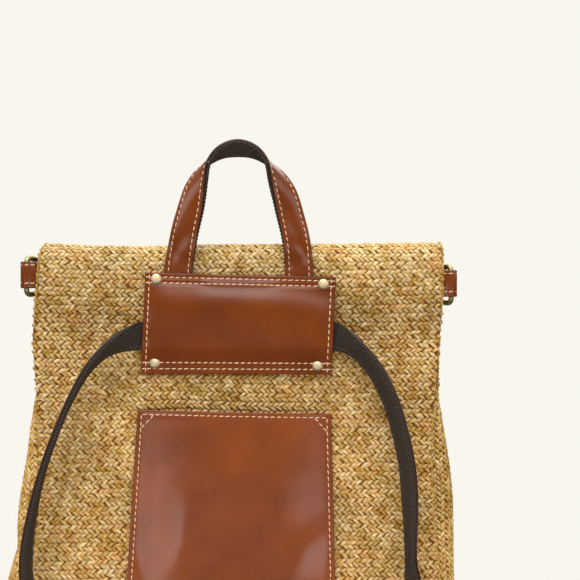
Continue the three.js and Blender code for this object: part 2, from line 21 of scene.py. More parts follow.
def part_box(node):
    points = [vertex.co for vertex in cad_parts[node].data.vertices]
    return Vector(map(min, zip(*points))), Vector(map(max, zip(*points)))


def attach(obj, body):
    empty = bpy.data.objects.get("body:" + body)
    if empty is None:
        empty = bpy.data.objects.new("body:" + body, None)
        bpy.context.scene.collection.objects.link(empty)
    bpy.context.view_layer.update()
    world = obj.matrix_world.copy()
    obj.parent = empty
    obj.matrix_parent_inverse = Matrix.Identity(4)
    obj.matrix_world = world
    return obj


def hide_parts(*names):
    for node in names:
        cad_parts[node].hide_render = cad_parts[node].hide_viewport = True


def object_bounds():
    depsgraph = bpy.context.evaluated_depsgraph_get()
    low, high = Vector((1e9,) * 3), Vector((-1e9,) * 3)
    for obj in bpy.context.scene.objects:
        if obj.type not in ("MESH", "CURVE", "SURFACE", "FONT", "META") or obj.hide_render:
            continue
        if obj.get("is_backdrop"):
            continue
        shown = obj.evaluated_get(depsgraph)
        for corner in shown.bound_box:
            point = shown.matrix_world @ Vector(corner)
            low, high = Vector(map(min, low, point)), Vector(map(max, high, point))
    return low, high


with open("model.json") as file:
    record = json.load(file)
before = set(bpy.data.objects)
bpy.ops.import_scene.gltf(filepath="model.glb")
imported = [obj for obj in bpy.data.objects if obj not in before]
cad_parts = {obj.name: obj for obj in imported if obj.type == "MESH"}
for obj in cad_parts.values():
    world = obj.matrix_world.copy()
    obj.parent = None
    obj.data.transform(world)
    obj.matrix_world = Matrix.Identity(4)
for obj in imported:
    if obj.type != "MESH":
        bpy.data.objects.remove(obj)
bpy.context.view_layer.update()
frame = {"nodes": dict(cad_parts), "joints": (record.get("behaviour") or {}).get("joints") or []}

# %% [markdown]
# ## Camera, light and floor
#
# A shop photograph like this one is taken from far away with a long lens, level with the bag, so the sides
# stay parallel. The lens follows from two facts: how far the camera stands, and how many metres the picture
# spans at the back panel. Large soft boxes stand for the studio's lamps: a key light at the upper left, one
# on each side, one overhead and one behind. Four cards far in front are there for their reflections. The
# high one gives the pale streak along the strap cover, and the low ones the sheen at the pocket's sides.

# %% Camera
BACK_FACE = -0.055  # y of the back panel
PICTURE_SPAN = 0.3944  # metres across the picture at the back panel
PICTURE_MIDDLE = (0.0354, 0.278)  # x and z
CAMERA_DISTANCE = 2.6


def add(name, data):
    made = bpy.data.objects.new(name, data)
    bpy.context.scene.collection.objects.link(made)
    return made


camera = add("camera", bpy.data.cameras.new("camera"))
camera.data.sensor_width = 36
camera.data.lens = camera.data.sensor_width * CAMERA_DISTANCE / PICTURE_SPAN
camera.data.clip_end = 50
camera.location = (PICTURE_MIDDLE[0], BACK_FACE - CAMERA_DISTANCE, PICTURE_MIDDLE[1])
camera.rotation_euler = (math.pi / 2, 0, 0)
bpy.context.scene.camera = camera
bpy.context.scene.view_settings.view_transform = "Standard"
print("lens:", round(camera.data.lens, 1), "mm")


# %% Colours, and a short way to write shader nodes
def colour(red, green, blue):
    """A screen colour from 0 to 255 as the linear colour that shaders use."""
    share = np.array([red, green, blue]) / 255
    linear = np.where(share > 0.04045, ((share + 0.055) / 1.055) ** 2.4, share / 12.92)
    return (*linear.tolist(), 1.0)


def put(tree, kind, inputs=None, **settings):
    """One shader node. An input that is a socket is linked, and any other value is set."""
    made = tree.nodes.new("ShaderNode" + kind)
    for key, value in settings.items():
        setattr(made, key, value)
    for key, value in (inputs or {}).items():
        if isinstance(value, bpy.types.NodeSocket):
            tree.links.new(value, made.inputs[key])
        else:
            made.inputs[key].default_value = value
    return made


def ranged(tree, value, start=(0.0, 1.0), end=(0.0, 1.0), **settings):
    """A value whose start range is stretched to an end range."""
    ends = {"From Min": start[0], "From Max": start[1], "To Min": end[0], "To Max": end[1]}
    return put(tree, "MapRange", {"Value": value, **ends}, **settings).outputs[0]


# %% Studio light
BACKDROP = colour(249, 246, 238)
MIDDLE = (0, -0.02, 0.2)  # what every lamp aims at


def soft_box(name, place, wide, tall, watts, roll=0):
    """A soft box that shines from a place at the bag's middle, rolled by some degrees about that line."""
    lamp = add(name, bpy.data.lights.new(name, "AREA"))
    lamp.data.shape = "RECTANGLE"
    lamp.data.size = wide
    lamp.data.size_y = tall
    lamp.data.energy = watts
    lamp.visible_camera = False
    lamp.location = place
    facing = (Vector(MIDDLE) - Vector(place)).to_track_quat("-Z", "Y")
    lamp.rotation_euler = (facing @ Quaternion((0, 0, 1), math.radians(roll))).to_euler()


soft_box("key_light", (-0.5, -1.25, 2.1), 1.0, 1.0, 22)
soft_box("left_card", (-1.18, -2.4, -0.27), 0.9, 0.84, 6.0, roll=-12)
soft_box("right_card", (1.35, -2.4, -0.38), 0.8, 0.8, 5.4, roll=16)
soft_box("low_card", (0.0, -2.6, -0.29), 1.2, 0.82, 0.9)
soft_box("high_card", (0.35, -2.6, 1.2), 1.9, 0.5, 16.5)
soft_box("left_wall", (-1.9, -0.35, 0.95), 1.0, 1.0, 7)
soft_box("right_wall", (1.9, -0.45, 0.9), 1.0, 1.0, 5)
soft_box("top_light", (0.1, -0.1, 2.0), 2.4, 2.4, 28)
soft_box("flap_light", (0.5, 2.0, 1.2), 2.4, 2.4, 24)

world = bpy.data.worlds.new("studio")
bpy.context.scene.world = world
world.use_nodes = True
sky = world.node_tree
sky.nodes.clear()
seen = put(sky, "Background", {"Color": BACKDROP, "Strength": 1.0})
way_up = put(sky, "SeparateXYZ", {0: put(sky, "TexCoord").outputs["Generated"]}).outputs["Z"]
glow = ranged(sky, way_up, (0.0, 0.6), (0.1, 0.5))
lit = put(sky, "Background", {"Color": colour(255, 252, 246), "Strength": glow})
pick = put(sky, "LightPath").outputs["Is Camera Ray"]
mixed = put(sky, "MixShader", {0: pick, 1: lit.outputs[0], 2: seen.outputs[0]})
put(sky, "OutputWorld", {"Surface": mixed.outputs[0]})
print("lights:", len(bpy.data.lights))


# %% Floor
FLOOR_RADIUS = 0.8
FLOOR_GAP = 0.0003  # metres from the bag's base down to the floor


def material(name):
    made = bpy.data.materials.new(name)
    made.use_nodes = True
    made.node_tree.nodes.clear()
    return made, made.node_tree


floor_look, tree = material("pale_floor")
place = put(tree, "TexCoord").outputs["Object"]
far = put(tree, "VectorMath", {0: place}, operation="LENGTH").outputs["Value"]
fade = ranged(tree, far, (0.35, 0.75), interpolation_type="SMOOTHSTEP")
matt = put(tree, "BsdfPrincipled", {"Base Color": colour(246, 243, 236), "Roughness": 0.8})
gone = put(tree, "BsdfTransparent")
blend = put(tree, "MixShader", {0: fade, 1: matt.outputs[0], 2: gone.outputs[0]})
put(tree, "OutputMaterial", {"Surface": blend.outputs[0]})

turn = np.linspace(0, 2 * math.pi, 64, endpoint=False)
rim = np.stack([np.cos(turn), np.sin(turn), 0 * turn], axis=1) * FLOOR_RADIUS
floor_mesh = bpy.data.meshes.new("floor")
floor_mesh.from_pydata(rim.tolist(), [], [list(range(len(rim)))])
floor_mesh.materials.append(floor_look)
floor = add("floor", floor_mesh)
floor.location.z = -FLOOR_GAP
floor.visible_glossy = False
floor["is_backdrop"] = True
print("floor:", FLOOR_RADIUS, "m radius")

# %% [markdown]
# ## Finishes that several materials share
#
# Raffia is matt, with fine streaks along the fibre. The hide is a polished brown whose tone drifts, with a
# faint grain and a darker cut edge. Painted images could give all this, but they fix the size of every mark.
# Noise in the shader stays sharp at any distance. A node group holds each effect once, with named inputs,
# and a material places it with its own values. A group gives out only colours, masks and heights. The shader
# itself stays in the material, where the export can read it.


# %% Node groups
def effect(name, inputs, outputs):
    """An empty node group with named sockets. Returns its tree, its inputs and its outputs."""
    tree = bpy.data.node_groups.new(name, "ShaderNodeTree")
    for label, kind, start in inputs:
        socket = tree.interface.new_socket(label, in_out="INPUT", socket_type="NodeSocket" + kind)
        socket.default_value = start
    for label, kind in outputs:
        tree.interface.new_socket(label, in_out="OUTPUT", socket_type="NodeSocket" + kind)
    return tree, tree.nodes.new("NodeGroupInput").outputs, tree.nodes.new("NodeGroupOutput").inputs


def mix(tree, factor, first, second, how="MIX"):
    """Two colours mixed. A Mix node keeps its colours in sockets 6 and 7."""
    inputs = {0: factor, 6: first, 7: second}
    return put(tree, "Mix", inputs, data_type="RGBA", blend_type=how).outputs[2]


def maths(tree, operation, *values):
    return put(tree, "Math", dict(enumerate(values)), operation=operation).outputs[0]


def noise(tree, place, scale, detail=2.0, rough=0.5):
    inputs = {"Vector": place, "Scale": scale, "Detail": detail, "Roughness": rough}
    return put(tree, "TexNoise", inputs).outputs[0]


def parts_of(tree, field):
    """The three parts of a vector that a mesh carries on its points."""
    vector = put(tree, "Attribute", attribute_name=field).outputs["Vector"]
    return put(tree, "SeparateXYZ", {0: vector}).outputs


tree, given, out = effect(
    "drifting_tone",
    [("Size", "Float", 30.0), ("Dark", "Color", (0, 0, 0, 1)), ("Light", "Color", (1, 1, 1, 1))],
    [("Color", "Color"), ("Mask", "Float")],
)
place = put(tree, "TexCoord").outputs["Object"]
drift = ranged(tree, noise(tree, place, given["Size"], 3.0, 0.55), (0.3, 0.7))
tree.links.new(mix(tree, drift, given["Dark"], given["Light"]), out["Color"])
tree.links.new(drift, out["Mask"])

tree, given, out = effect(
    "hide_grain", [("Size", "Float", 900.0), ("Crease", "Float", 0.35)], [("Height", "Float")]
)
place = put(tree, "TexCoord").outputs["Object"]
fine = noise(tree, place, given["Size"])
long_way = put(tree, "VectorMath", {0: place, 1: (160, 160, 700)}, operation="MULTIPLY").outputs[0]
creases = maths(tree, "MULTIPLY", noise(tree, long_way, 1.0), given["Crease"])
tree.links.new(maths(tree, "ADD", fine, creases), out["Height"])

tree, given, out = effect(
    "fibre_streaks",
    [("Around", "Float", 3.0), ("Along", "Float", 0.6)],
    [("Shade", "Float"), ("Height", "Float")],
)
parts = parts_of(tree, "fibre")
stretched = put(tree, "CombineXYZ", {
    0: maths(tree, "MULTIPLY", parts[0], given["Along"]),
    1: maths(tree, "MULTIPLY", parts[1], given["Around"]),
    2: maths(tree, "MULTIPLY", parts[2], given["Around"]),
}).outputs[0]
streaks = noise(tree, stretched, 1.0)
tree.links.new(ranged(tree, streaks, (0.25, 0.75)), out["Shade"])
tree.links.new(streaks, out["Height"])

tree, given, out = effect("cut_edge", [("Width", "Float", 0.0012)], [("Mask", "Float")])
inside = put(tree, "Attribute", attribute_name="edge").outputs["Fac"]
tree.links.new(ranged(tree, inside, (0.0, given["Width"]), (1.0, 0.0)), out["Mask"])
print("effects:", [g.name for g in bpy.data.node_groups])


# %% Straw material
def use(tree, name, **inputs):
    """Places a shared effect in a material with its own values."""
    made = tree.nodes.new("ShaderNodeGroup")
    made.node_tree = bpy.data.node_groups[name]
    for key, value in inputs.items():
        made.inputs[key].default_value = value
    return made.outputs


def surface(tree, inputs):
    shader = put(tree, "BsdfPrincipled", inputs)
    put(tree, "OutputMaterial", {"Surface": shader.outputs[0]})


def bump(tree, height, strength, distance):
    return put(tree, "Bump", {"Height": height, "Strength": strength, "Distance": distance}).outputs[0]


straw_look, tree = material("raffia_strand")
tone = put(tree, "Attribute", attribute_name="tone").outputs["Color"]
streak = use(tree, "fibre_streaks", Around=2.4, Along=0.5)
shade = ranged(tree, streak["Shade"], end=(0.74, 1.16))
grey = put(tree, "CombineColor", {0: shade, 1: shade, 2: shade}).outputs[0]
surface(tree, {
    "Base Color": mix(tree, 1.0, tone, grey, "MULTIPLY"),
    "Roughness": ranged(tree, streak["Shade"], end=(0.62, 0.48)),
    "Specular IOR Level": 0.22,
    "Normal": bump(tree, streak["Height"], 0.5, 0.0004),
})
print("material:", straw_look.name)

# %% Leather materials
LEATHER_ROUGH = (0.238, 0.262)  # from the smoothest to the roughest spot


def leather(name, dark, light, edge, edge_width, gloss, coat, polish):
    """Drifting brown hide with a fine grain, a darker cut edge and a polished coat."""
    made, tree = material(name)
    drift = use(tree, "drifting_tone", Size=26.0, Dark=dark, Light=light)
    fine = use(tree, "drifting_tone", Size=420.0, Dark=colour(248, 245, 243), Light=colour(255, 255, 255))
    grain = use(tree, "hide_grain", Size=1300.0, Crease=0.5)
    rim = use(tree, "cut_edge", Width=edge_width)["Mask"]
    face = mix(tree, 1.0, drift["Color"], fine["Color"], "MULTIPLY")
    surface(tree, {
        "Base Color": mix(tree, rim, face, edge),
        "Roughness": ranged(tree, fine["Mask"], end=LEATHER_ROUGH),
        "Specular IOR Level": gloss,
        "Coat Weight": coat,
        "Coat Roughness": polish,
        "Normal": bump(tree, grain["Height"], 0.05, 0.0002),
    })
    return made


RUSSET, CHESTNUT = colour(101, 44, 5), colour(124, 57, 8)
pocket_look = leather(
    "pocket_leather", colour(116, 53, 11), colour(140, 66, 17), colour(100, 42, 18), 0.0008,
    gloss=0.45, coat=0.25, polish=0.16)
leather_look = leather(
    "brown_leather", RUSSET, CHESTNUT, colour(92, 38, 14), 0.0008, gloss=0.15, coat=0.46, polish=0.17)
belt_look = leather(
    "belt_leather", RUSSET, CHESTNUT, colour(44, 30, 25), 0.0006, gloss=0.2, coat=0.44, polish=0.2)
print("materials:", [look.name for look in (pocket_look, leather_look, belt_look)])

# %% Lining material
TWILL = 0.0019  # metres from one diagonal rib to the next
lining_look, tree = material("charcoal_twill")
parts = parts_of(tree, "fibre")
diagonal = maths(tree, "MULTIPLY", maths(tree, "ADD", parts[0], parts[1]), 2 * math.pi / TWILL)
high = ranged(tree, maths(tree, "SINE", diagonal), (-1.0, 1.0))
drift = use(tree, "drifting_tone", Size=320.0, Dark=colour(20, 16, 13), Light=colour(35, 28, 23))
surface(tree, {
    "Base Color": mix(tree, high, drift["Color"], colour(76, 66, 57)),
    "Roughness": 0.85,
    "Specular IOR Level": 0.12,
    "Normal": bump(tree, high, 0.4, 0.0002),
})
print("material:", lining_look.name)


# %% Thread and brass
def thread(name, dark, light):
    made, tree = material(name)
    streak = use(tree, "fibre_streaks", Around=1.0, Along=4.0)
    surface(tree, {
        "Base Color": mix(tree, streak["Shade"], dark, light),
        "Roughness": 0.6,
        "Normal": bump(tree, streak["Height"], 0.4, 0.0002),
    })
    return made


cream_thread_look = thread("cream_thread", colour(222, 184, 140), colour(248, 222, 186))
grey_thread_look = thread("grey_thread", colour(46, 43, 43), colour(84, 80, 80))


def brass(name, dark, light, dull, bright):
    made, tree = material(name)
    drift = use(tree, "drifting_tone", Size=500.0, Dark=dark, Light=light)
    surface(tree, {
        "Base Color": drift["Color"],
        "Metallic": 1.0,
        "Roughness": ranged(tree, drift["Mask"], end=(dull, bright)),
    })
    return made


cap_look = brass("pale_antique_brass", colour(217, 191, 144), colour(247, 224, 187), 0.56, 0.42)
ring_look = brass("dull_antique_brass", colour(158, 146, 98), colour(206, 194, 142), 0.52, 0.4)
print("materials:", [look.name for look in (cream_thread_look, grey_thread_look, cap_look, ring_look)])

# %% [markdown]
# ## Reading the straw's shape from the frame
#
# The body is soft, so its solid has the true shape but smooth walls. Rays shot at the solid from outside
# give an even grid of points on each panel: the back panel with its fold and flap, the front panel, and the
# band that runs down one side, under the base and up the other. Working on grids keeps the plait tied to
# the frame. If the solid changes, the straw follows.


# %% Rays and grids
def caster(node):
    mesh = frame["nodes"][node].data
    return BVHTree.FromPolygons([v.co for v in mesh.vertices], [tuple(p.vertices) for p in mesh.polygons])


def run_of(line):
    """Metres along a line of points, from its first one on."""
    return np.concatenate([[0], np.cumsum(np.linalg.norm(np.diff(line, axis=0), axis=1))])


def read_line(at, length, field):
    """Rows of a field, read at places along the line that they belong to."""
    return np.stack([np.interp(at, length, column) for column in field.T], axis=1)


def grid_of(tree, starts, ways, keep, columns):
    """An even grid on one panel's outer face, from rays that go station by station and across each one."""
    rows = []
    for start_row, way_row in zip(starts, ways):
        good = []
        for start, way in zip(start_row, way_row):
            hit, normal, _, _ = tree.ray_cast(Vector(start), Vector(way))
            if hit is not None and keep(hit, normal):
                good.append(tuple(hit))
        if len(good) < 4:
            continue
        good = np.array(good)
        length = run_of(good)
        rows.append(read_line(np.linspace(0, length[-1], columns), length, good))
    return np.array(rows)


def eased(grid, rounds):
    """Takes the facets out of a grid, and the steps out of its two long edges."""
    for _ in range(rounds):
        around = grid[:-2, 1:-1] + grid[2:, 1:-1] + grid[1:-1, :-2] + grid[1:-1, 2:]
        grid[1:-1, 1:-1] = grid[1:-1, 1:-1] / 2 + around / 8
        for edge in (0, -1):
            grid[1:-1, edge] = (grid[:-2, edge] + 2 * grid[1:-1, edge] + grid[2:, edge]) / 4
    return grid


def unit(vectors):
    return vectors / np.linalg.norm(vectors, axis=-1, keepdims=True)


def read_grid(fields, row, column):
    """Fields of a grid, read between its points at broken numbers of rows and columns."""
    rows, columns = fields[0].shape[:2]
    i, j = np.clip(row.astype(int), 0, rows - 2), np.clip(column.astype(int), 0, columns - 2)
    p, q = (row - i)[:, None], (column - j)[:, None]
    found = []
    for field in fields:
        near = field[i, j] * (1 - q) + field[i, j + 1] * q
        far = field[i + 1, j] * (1 - q) + field[i + 1, j + 1] * q
        found.append(near * (1 - p) + far * p)
    return found


class Panel:
    """A grid on a straw panel, sampled by metres along its stations (s) and across them (t)."""

    def __init__(self, grid, outward, first=None):
        self.grid = grid
        self.length = run_of(grid[:, grid.shape[1] // 2])
        self.width = np.linalg.norm(np.diff(grid, axis=1), axis=2).sum(axis=1)
        self.first = np.zeros(len(grid)) if first is None else first
        self.down = unit(np.gradient(grid, axis=0))
        self.over = unit(np.gradient(grid, axis=1))
        normal = unit(np.cross(self.over, self.down))
        middle = normal[len(grid) // 4, grid.shape[1] // 2]
        self.normal = normal * np.sign(middle @ np.array(outward))

    def sample(self, s, t):
        """Points, directions and normals there, and how far each point is from the panel's four edges."""
        rows, columns = self.grid.shape[:2]
        row = np.interp(s, self.length, np.arange(rows))
        width = np.interp(s, self.length, self.width)
        share = (t - np.interp(s, self.length, self.first)) / width
        column = np.clip(share, 0, 1) * (columns - 1)
        points, *ways = read_grid((self.grid, self.down, self.over, self.normal), row, column)
        inside = np.stack([share * width, (1 - share) * width, s, self.length[-1] - s])
        return points, *(unit(way) for way in ways), inside


# %% Back panel, fold and flap
FAR = 0.4  # metres out that rays start from
STATION = 0.003  # metres between stations
RAY = 0.0006  # metres between rays of a station
FOLD_MIDDLE = (-0.041, 0.296)  # y and z of the line that the top folds about
BACK_SIDE = -0.045  # y that all of the back panel lies in front of

sheet_tree = caster("woven_back_flap")


def rows_of_rays(stations, free_axis, free):
    """Every station's ray, repeated along the axis that it is free to move on."""
    starts, ways = (np.repeat(np.array(side)[:, None, :], len(free), axis=1) for side in zip(*stations))
    starts[:, :, free_axis] = free
    return starts, ways


def measured(name, panel):
    print(name, panel.grid.shape[:2], "of", panel.length[-1].round(3), "by", panel.width.max().round(3), "m")


across = np.arange(-0.17, 0.17, RAY)
up_back = [((0, -FAR, z), (0, 1, 0)) for z in np.arange(0.0012, FOLD_MIDDLE[1], STATION)]
over_fold = []
for angle in np.linspace(math.pi, math.radians(22), 13)[1:]:
    y, z = math.cos(angle), math.sin(angle)
    over_fold.append(((0, FOLD_MIDDLE[0] + FAR * y, FOLD_MIDDLE[1] + FAR * z), (0, -y, -z)))
down_flap = [((0, FAR, z), (0, -1, 0)) for z in np.arange(0.2985, 0.128, -STATION)]
sheet_grid = eased(np.concatenate([
    grid_of(sheet_tree, *rows_of_rays(up_back, 0, across), lambda p, n: p.y < -0.046, 70),
    grid_of(sheet_tree, *rows_of_rays(over_fold, 0, across), lambda p, n: p.z > 0.297, 70),
    grid_of(sheet_tree, *rows_of_rays(down_flap, 0, across), lambda p, n: p.y > -0.041, 70),
]), 3)
VALLEY = 0.003  # metres that the strap pulls the back panel in, beside its cover
VALLEY_Z, VALLEY_WIDE = 0.245, 0.022
VALLEY_X = (0.062, 0.14)  # from and to, on either side
VALLEY_EASE = (0.02, 0.014)  # metres that it takes to begin and to end
x, y, z = np.moveaxis(sheet_grid, 2, 0)
begun = np.clip((abs(x) - VALLEY_X[0]) / VALLEY_EASE[0], 0, 1)
ended = np.clip((VALLEY_X[1] - abs(x)) / VALLEY_EASE[1], 0, 1)
beside = begun * ended * (y < BACK_SIDE)
sheet_grid[:, :, 1] += VALLEY * beside * np.exp(-((z - VALLEY_Z) / VALLEY_WIDE) ** 2)
sheet = Panel(sheet_grid, (0, -1, 0), first=sheet_grid[:, 0, 0])
measured("sheet", sheet)

# %% Front panel
RIM = 0.2675  # z of the body's rim
body_tree = caster("woven_front_sides")
stations = [((0, FAR, z), (0, -1, 0)) for z in np.arange(0.0012, RIM, STATION)]
starts, ways = rows_of_rays(stations, 0, across)
front_grid = eased(grid_of(body_tree, starts, ways, lambda p, n: n.y > 0.7 and p.y > -0.04, 60), 3)
front = Panel(front_grid, (0, 1, 0), first=front_grid[:, 0, 0])
measured("front", front)

# %% Side gussets and base
CORNER = 0.034  # radius of the body's lower corners
CORNER_X = 0.106  # and how far out their middles are
deep = np.arange(-0.054, 0.058, RAY / 2)
down = [((-FAR, 0, z), (1, 0, 0)) for z in np.arange(RIM, CORNER, -STATION)]
for angle in np.linspace(0, math.pi / 2, 18):
    x, z = math.cos(angle), math.sin(angle)
    down.append(((-CORNER_X - FAR * x, 0, CORNER - FAR * z), (x, 0, z)))
under = [((x, 0, -FAR), (0, 0, 1)) for x in np.arange(-0.103, 0.104, STATION)]
up = [((-start[0], 0, start[2]), (-way[0], 0, way[2])) for start, way in reversed(down)]
starts, ways = rows_of_rays(down + under + up, 1, deep)


def on_band(point, normal):
    """True on the outer face of a side or of the base, and not on the front panel."""
    on_side = abs(point.x) > 0.1 and normal.x * point.x > 0
    return normal.y < 0.72 and (on_side or point.z < 0.004)


band_grid = eased(grid_of(body_tree, starts, ways, on_band, 48), 3)
tucked = 2 * band_grid[:, :1] - band_grid[:, 1:2]  # the gusset goes on behind the back panel's edge
band = Panel(np.concatenate([tucked, band_grid], axis=1), (-1, 0, 0))
measured("band", band)

# %% [markdown]
# ## The plait
#
# The straw is a herringbone: row after row of short bundles of raffia, leaning one way in one row and the
# other way in the next. A bump map can't carry this, because the rows make the bag's outline knobbly and
# throw small shadows. Each visible bundle is a small closed spindle that arches out of the wall and dives
# under its neighbours. Arrays make them all at once, and they are joined into a few large meshes. Sizes,
# leans and tones vary from bundle to bundle, with a fixed seed, and slow waves bend the rows.


# %% Spindles
def spindle_shape(sides, stations):
    """Local points (along, across, up) and faces of one closed spindle of half sizes 1."""
    along = 0.72 * np.linspace(-1, 1, stations)
    radius = (1 - np.abs(along) ** 3) ** 0.5
    angle = np.arange(sides) * 2 * math.pi / sides + math.pi / 2
    points = [(-1, 0, 0)]
    points += [(x, r * math.cos(a), r * math.sin(a)) for x, r in zip(along, radius) for a in angle]
    points.append((1, 0, 0))
    last = len(points) - 1
    faces = []
    for i in range(sides):
        j = (i + 1) % sides
        faces.append((0, 1 + j, 1 + i))
        faces.append((last, last - sides + i, last - sides + j))
        for ring in range(stations - 1):
            a, b = 1 + ring * sides, 1 + (ring + 1) * sides
            faces += [(a + i, a + j, b + j), (a + i, b + j, b + i)]
    return np.array(points), np.array(faces)


def spindles(shape, middle, along, side, up, length, width, height, sag):
    """One mesh's points and faces, with a spindle at every middle."""
    local, faces = shape
    x, y, z = (local[None, :, axis, None] for axis in range(3))
    half = [np.broadcast_to(np.asarray(size, float), len(middle))[:, None, None] / 2
            for size in (length, width, height)]
    drop = np.broadcast_to(np.asarray(sag, float), len(middle))[:, None, None]
    points = middle[:, None] + along[:, None] * x * half[0] + side[:, None] * y * half[1]
    points = points + up[:, None] * (z * half[2] - drop * x * x)
    numbers = faces[None] + (np.arange(len(middle)) * len(local))[:, None, None]
    return points.reshape(-1, 3), numbers.reshape(-1, 3)


def piece(name, points, faces, look, slot, replaces=(), body="bag", **fields):
    """A smooth mesh that rides on a body of the frame. Fields are per-point attributes."""
    mesh = bpy.data.meshes.new(name)
    mesh.from_pydata(np.asarray(points).tolist(), [], [tuple(f) for f in np.asarray(faces, object).tolist()])
    mesh.polygons.foreach_set("use_smooth", np.ones(len(mesh.polygons), bool))
    for label, values in fields.items():
        values = np.asarray(values, np.float32)
        if values.ndim == 1:
            mesh.attributes.new(label, "FLOAT", "POINT").data.foreach_set("value", values)
        elif values.shape[1] == 4:
            mesh.attributes.new(label, "FLOAT_COLOR", "POINT").data.foreach_set("color", values.ravel())
        else:
            mesh.attributes.new(label, "FLOAT_VECTOR", "POINT").data.foreach_set("vector", values.ravel())
    mesh.materials.append(look)
    made = add(name, mesh)
    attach(made, body)
    if replaces:
        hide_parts(*replaces)
    return made


# %% Tones of raffia
PALE, TAN, GOLD, ROSY = (np.array(colour(*tone)[:3]) for tone in (
    (253, 226, 185), (196, 146, 68), (202, 162, 80), (230, 173, 114)))
WAVES = 6  # how many make a slow field


def waves(rng, a, b, shortest, longest):
    """A slow random field of about -1 to 1 over two coordinates, as a sum of waves."""
    total = np.zeros_like(a)
    for _ in range(WAVES):
        heading, phase = rng.uniform(0, 2 * math.pi, 2)
        k = 2 * math.pi / rng.uniform(shortest, longest)
        total += np.sin(k * (a * math.cos(heading) + b * math.sin(heading)) + phase)
    return total / WAVES ** 0.5 / 1.5


def raffia_tones(rng, a, b, painted_light=0):
    """A tone for every bundle. Neighbours are alike, because one leaf gives several bundles."""
    own = rng.standard_normal((3, len(a)))
    # Bundles are made paler here by painted light, on the fold where it faces up.
    bright = np.clip(0.5 + painted_light + 0.3 * waves(rng, a, b, 0.008, 0.03) + 0.21 * own[0], 0, 1)[:, None]
    hue = 0.45 * waves(rng, a, 2 * b, 0.012, 0.05) + 0.2 * own[1]
    shade = 0.945 + 0.1 * waves(rng, a, 1.4 * b, 0.03, 0.12) + 0.06 * own[2]
    tones = TAN * (1 - bright) + PALE * bright
    for tint, share in ((GOLD, np.clip(hue, 0, 0.8)), (ROSY, np.clip(-hue - 0.05, 0, 0.7))):
        tones = tones * (1 - share[:, None]) + tint * share[:, None]
    tones = tones * np.minimum(shade, 0.94 / tones.max(axis=1))[:, None]
    return np.clip(np.column_stack([tones, np.ones(len(a))]), 0.02, 0.95)


# %% Herringbone rows
ROW = 0.0030  # metres from row to row
BUNDLE = 0.00375  # metres from bundle to bundle in a row
LEAN = math.radians(37)
DIVE = math.radians(7)  # a bundle's one end goes down under the next row
ROLL = math.radians(15)  # and its lower edge lies over the bundle below
BUNDLE_LONG, BUNDLE_WIDE, BUNDLE_THICK = 0.0074, 0.0025, 0.0017
STRAY, ROW_STRAY = 0.12, 0.00018  # how far bundles stray: in shares of BUNDLE, and in metres from the row
ROW_BEND = 0.0011  # metres that slow waves bend a row
LEAN_SPREAD, SIZE_SPREAD = math.radians(6), 0.1  # from bundle to bundle
BUNDLE_SUNK, SUNK_SPREAD = 0.00115, 0.0003  # metres from a panel's face in to a bundle's middle
FOLD_LIFT = 0.0007  # metres less where the fold faces up
FOLD_FROM, FOLD_TALL = 0.268, 0.05  # z from which the fold spreads the rows, and metres until it is full
FOLD_FULLER, FOLD_PAINTED_LIGHT = 0.35, 0.3  # how much wider its bundles are, and how much paler, as painted light where the fold faces up
EDGE_IN = 0.0006  # metres in from an edge that a bundle's middle stays
PAST_SEWN, PAST_FREE = 0.0027, 0.0004  # metres that a bundle may reach past a sewn edge and a free one
SEWN_TOP = 0.195  # z up to which the back panel is sewn to the gusset
STRAND, PLAIN_STRAND = spindle_shape(5, 3), spindle_shape(4, 3)


def sewn_to_gusset(points):
    return (points[:, 1] < BACK_SIDE) & (points[:, 2] < SEWN_TOP)


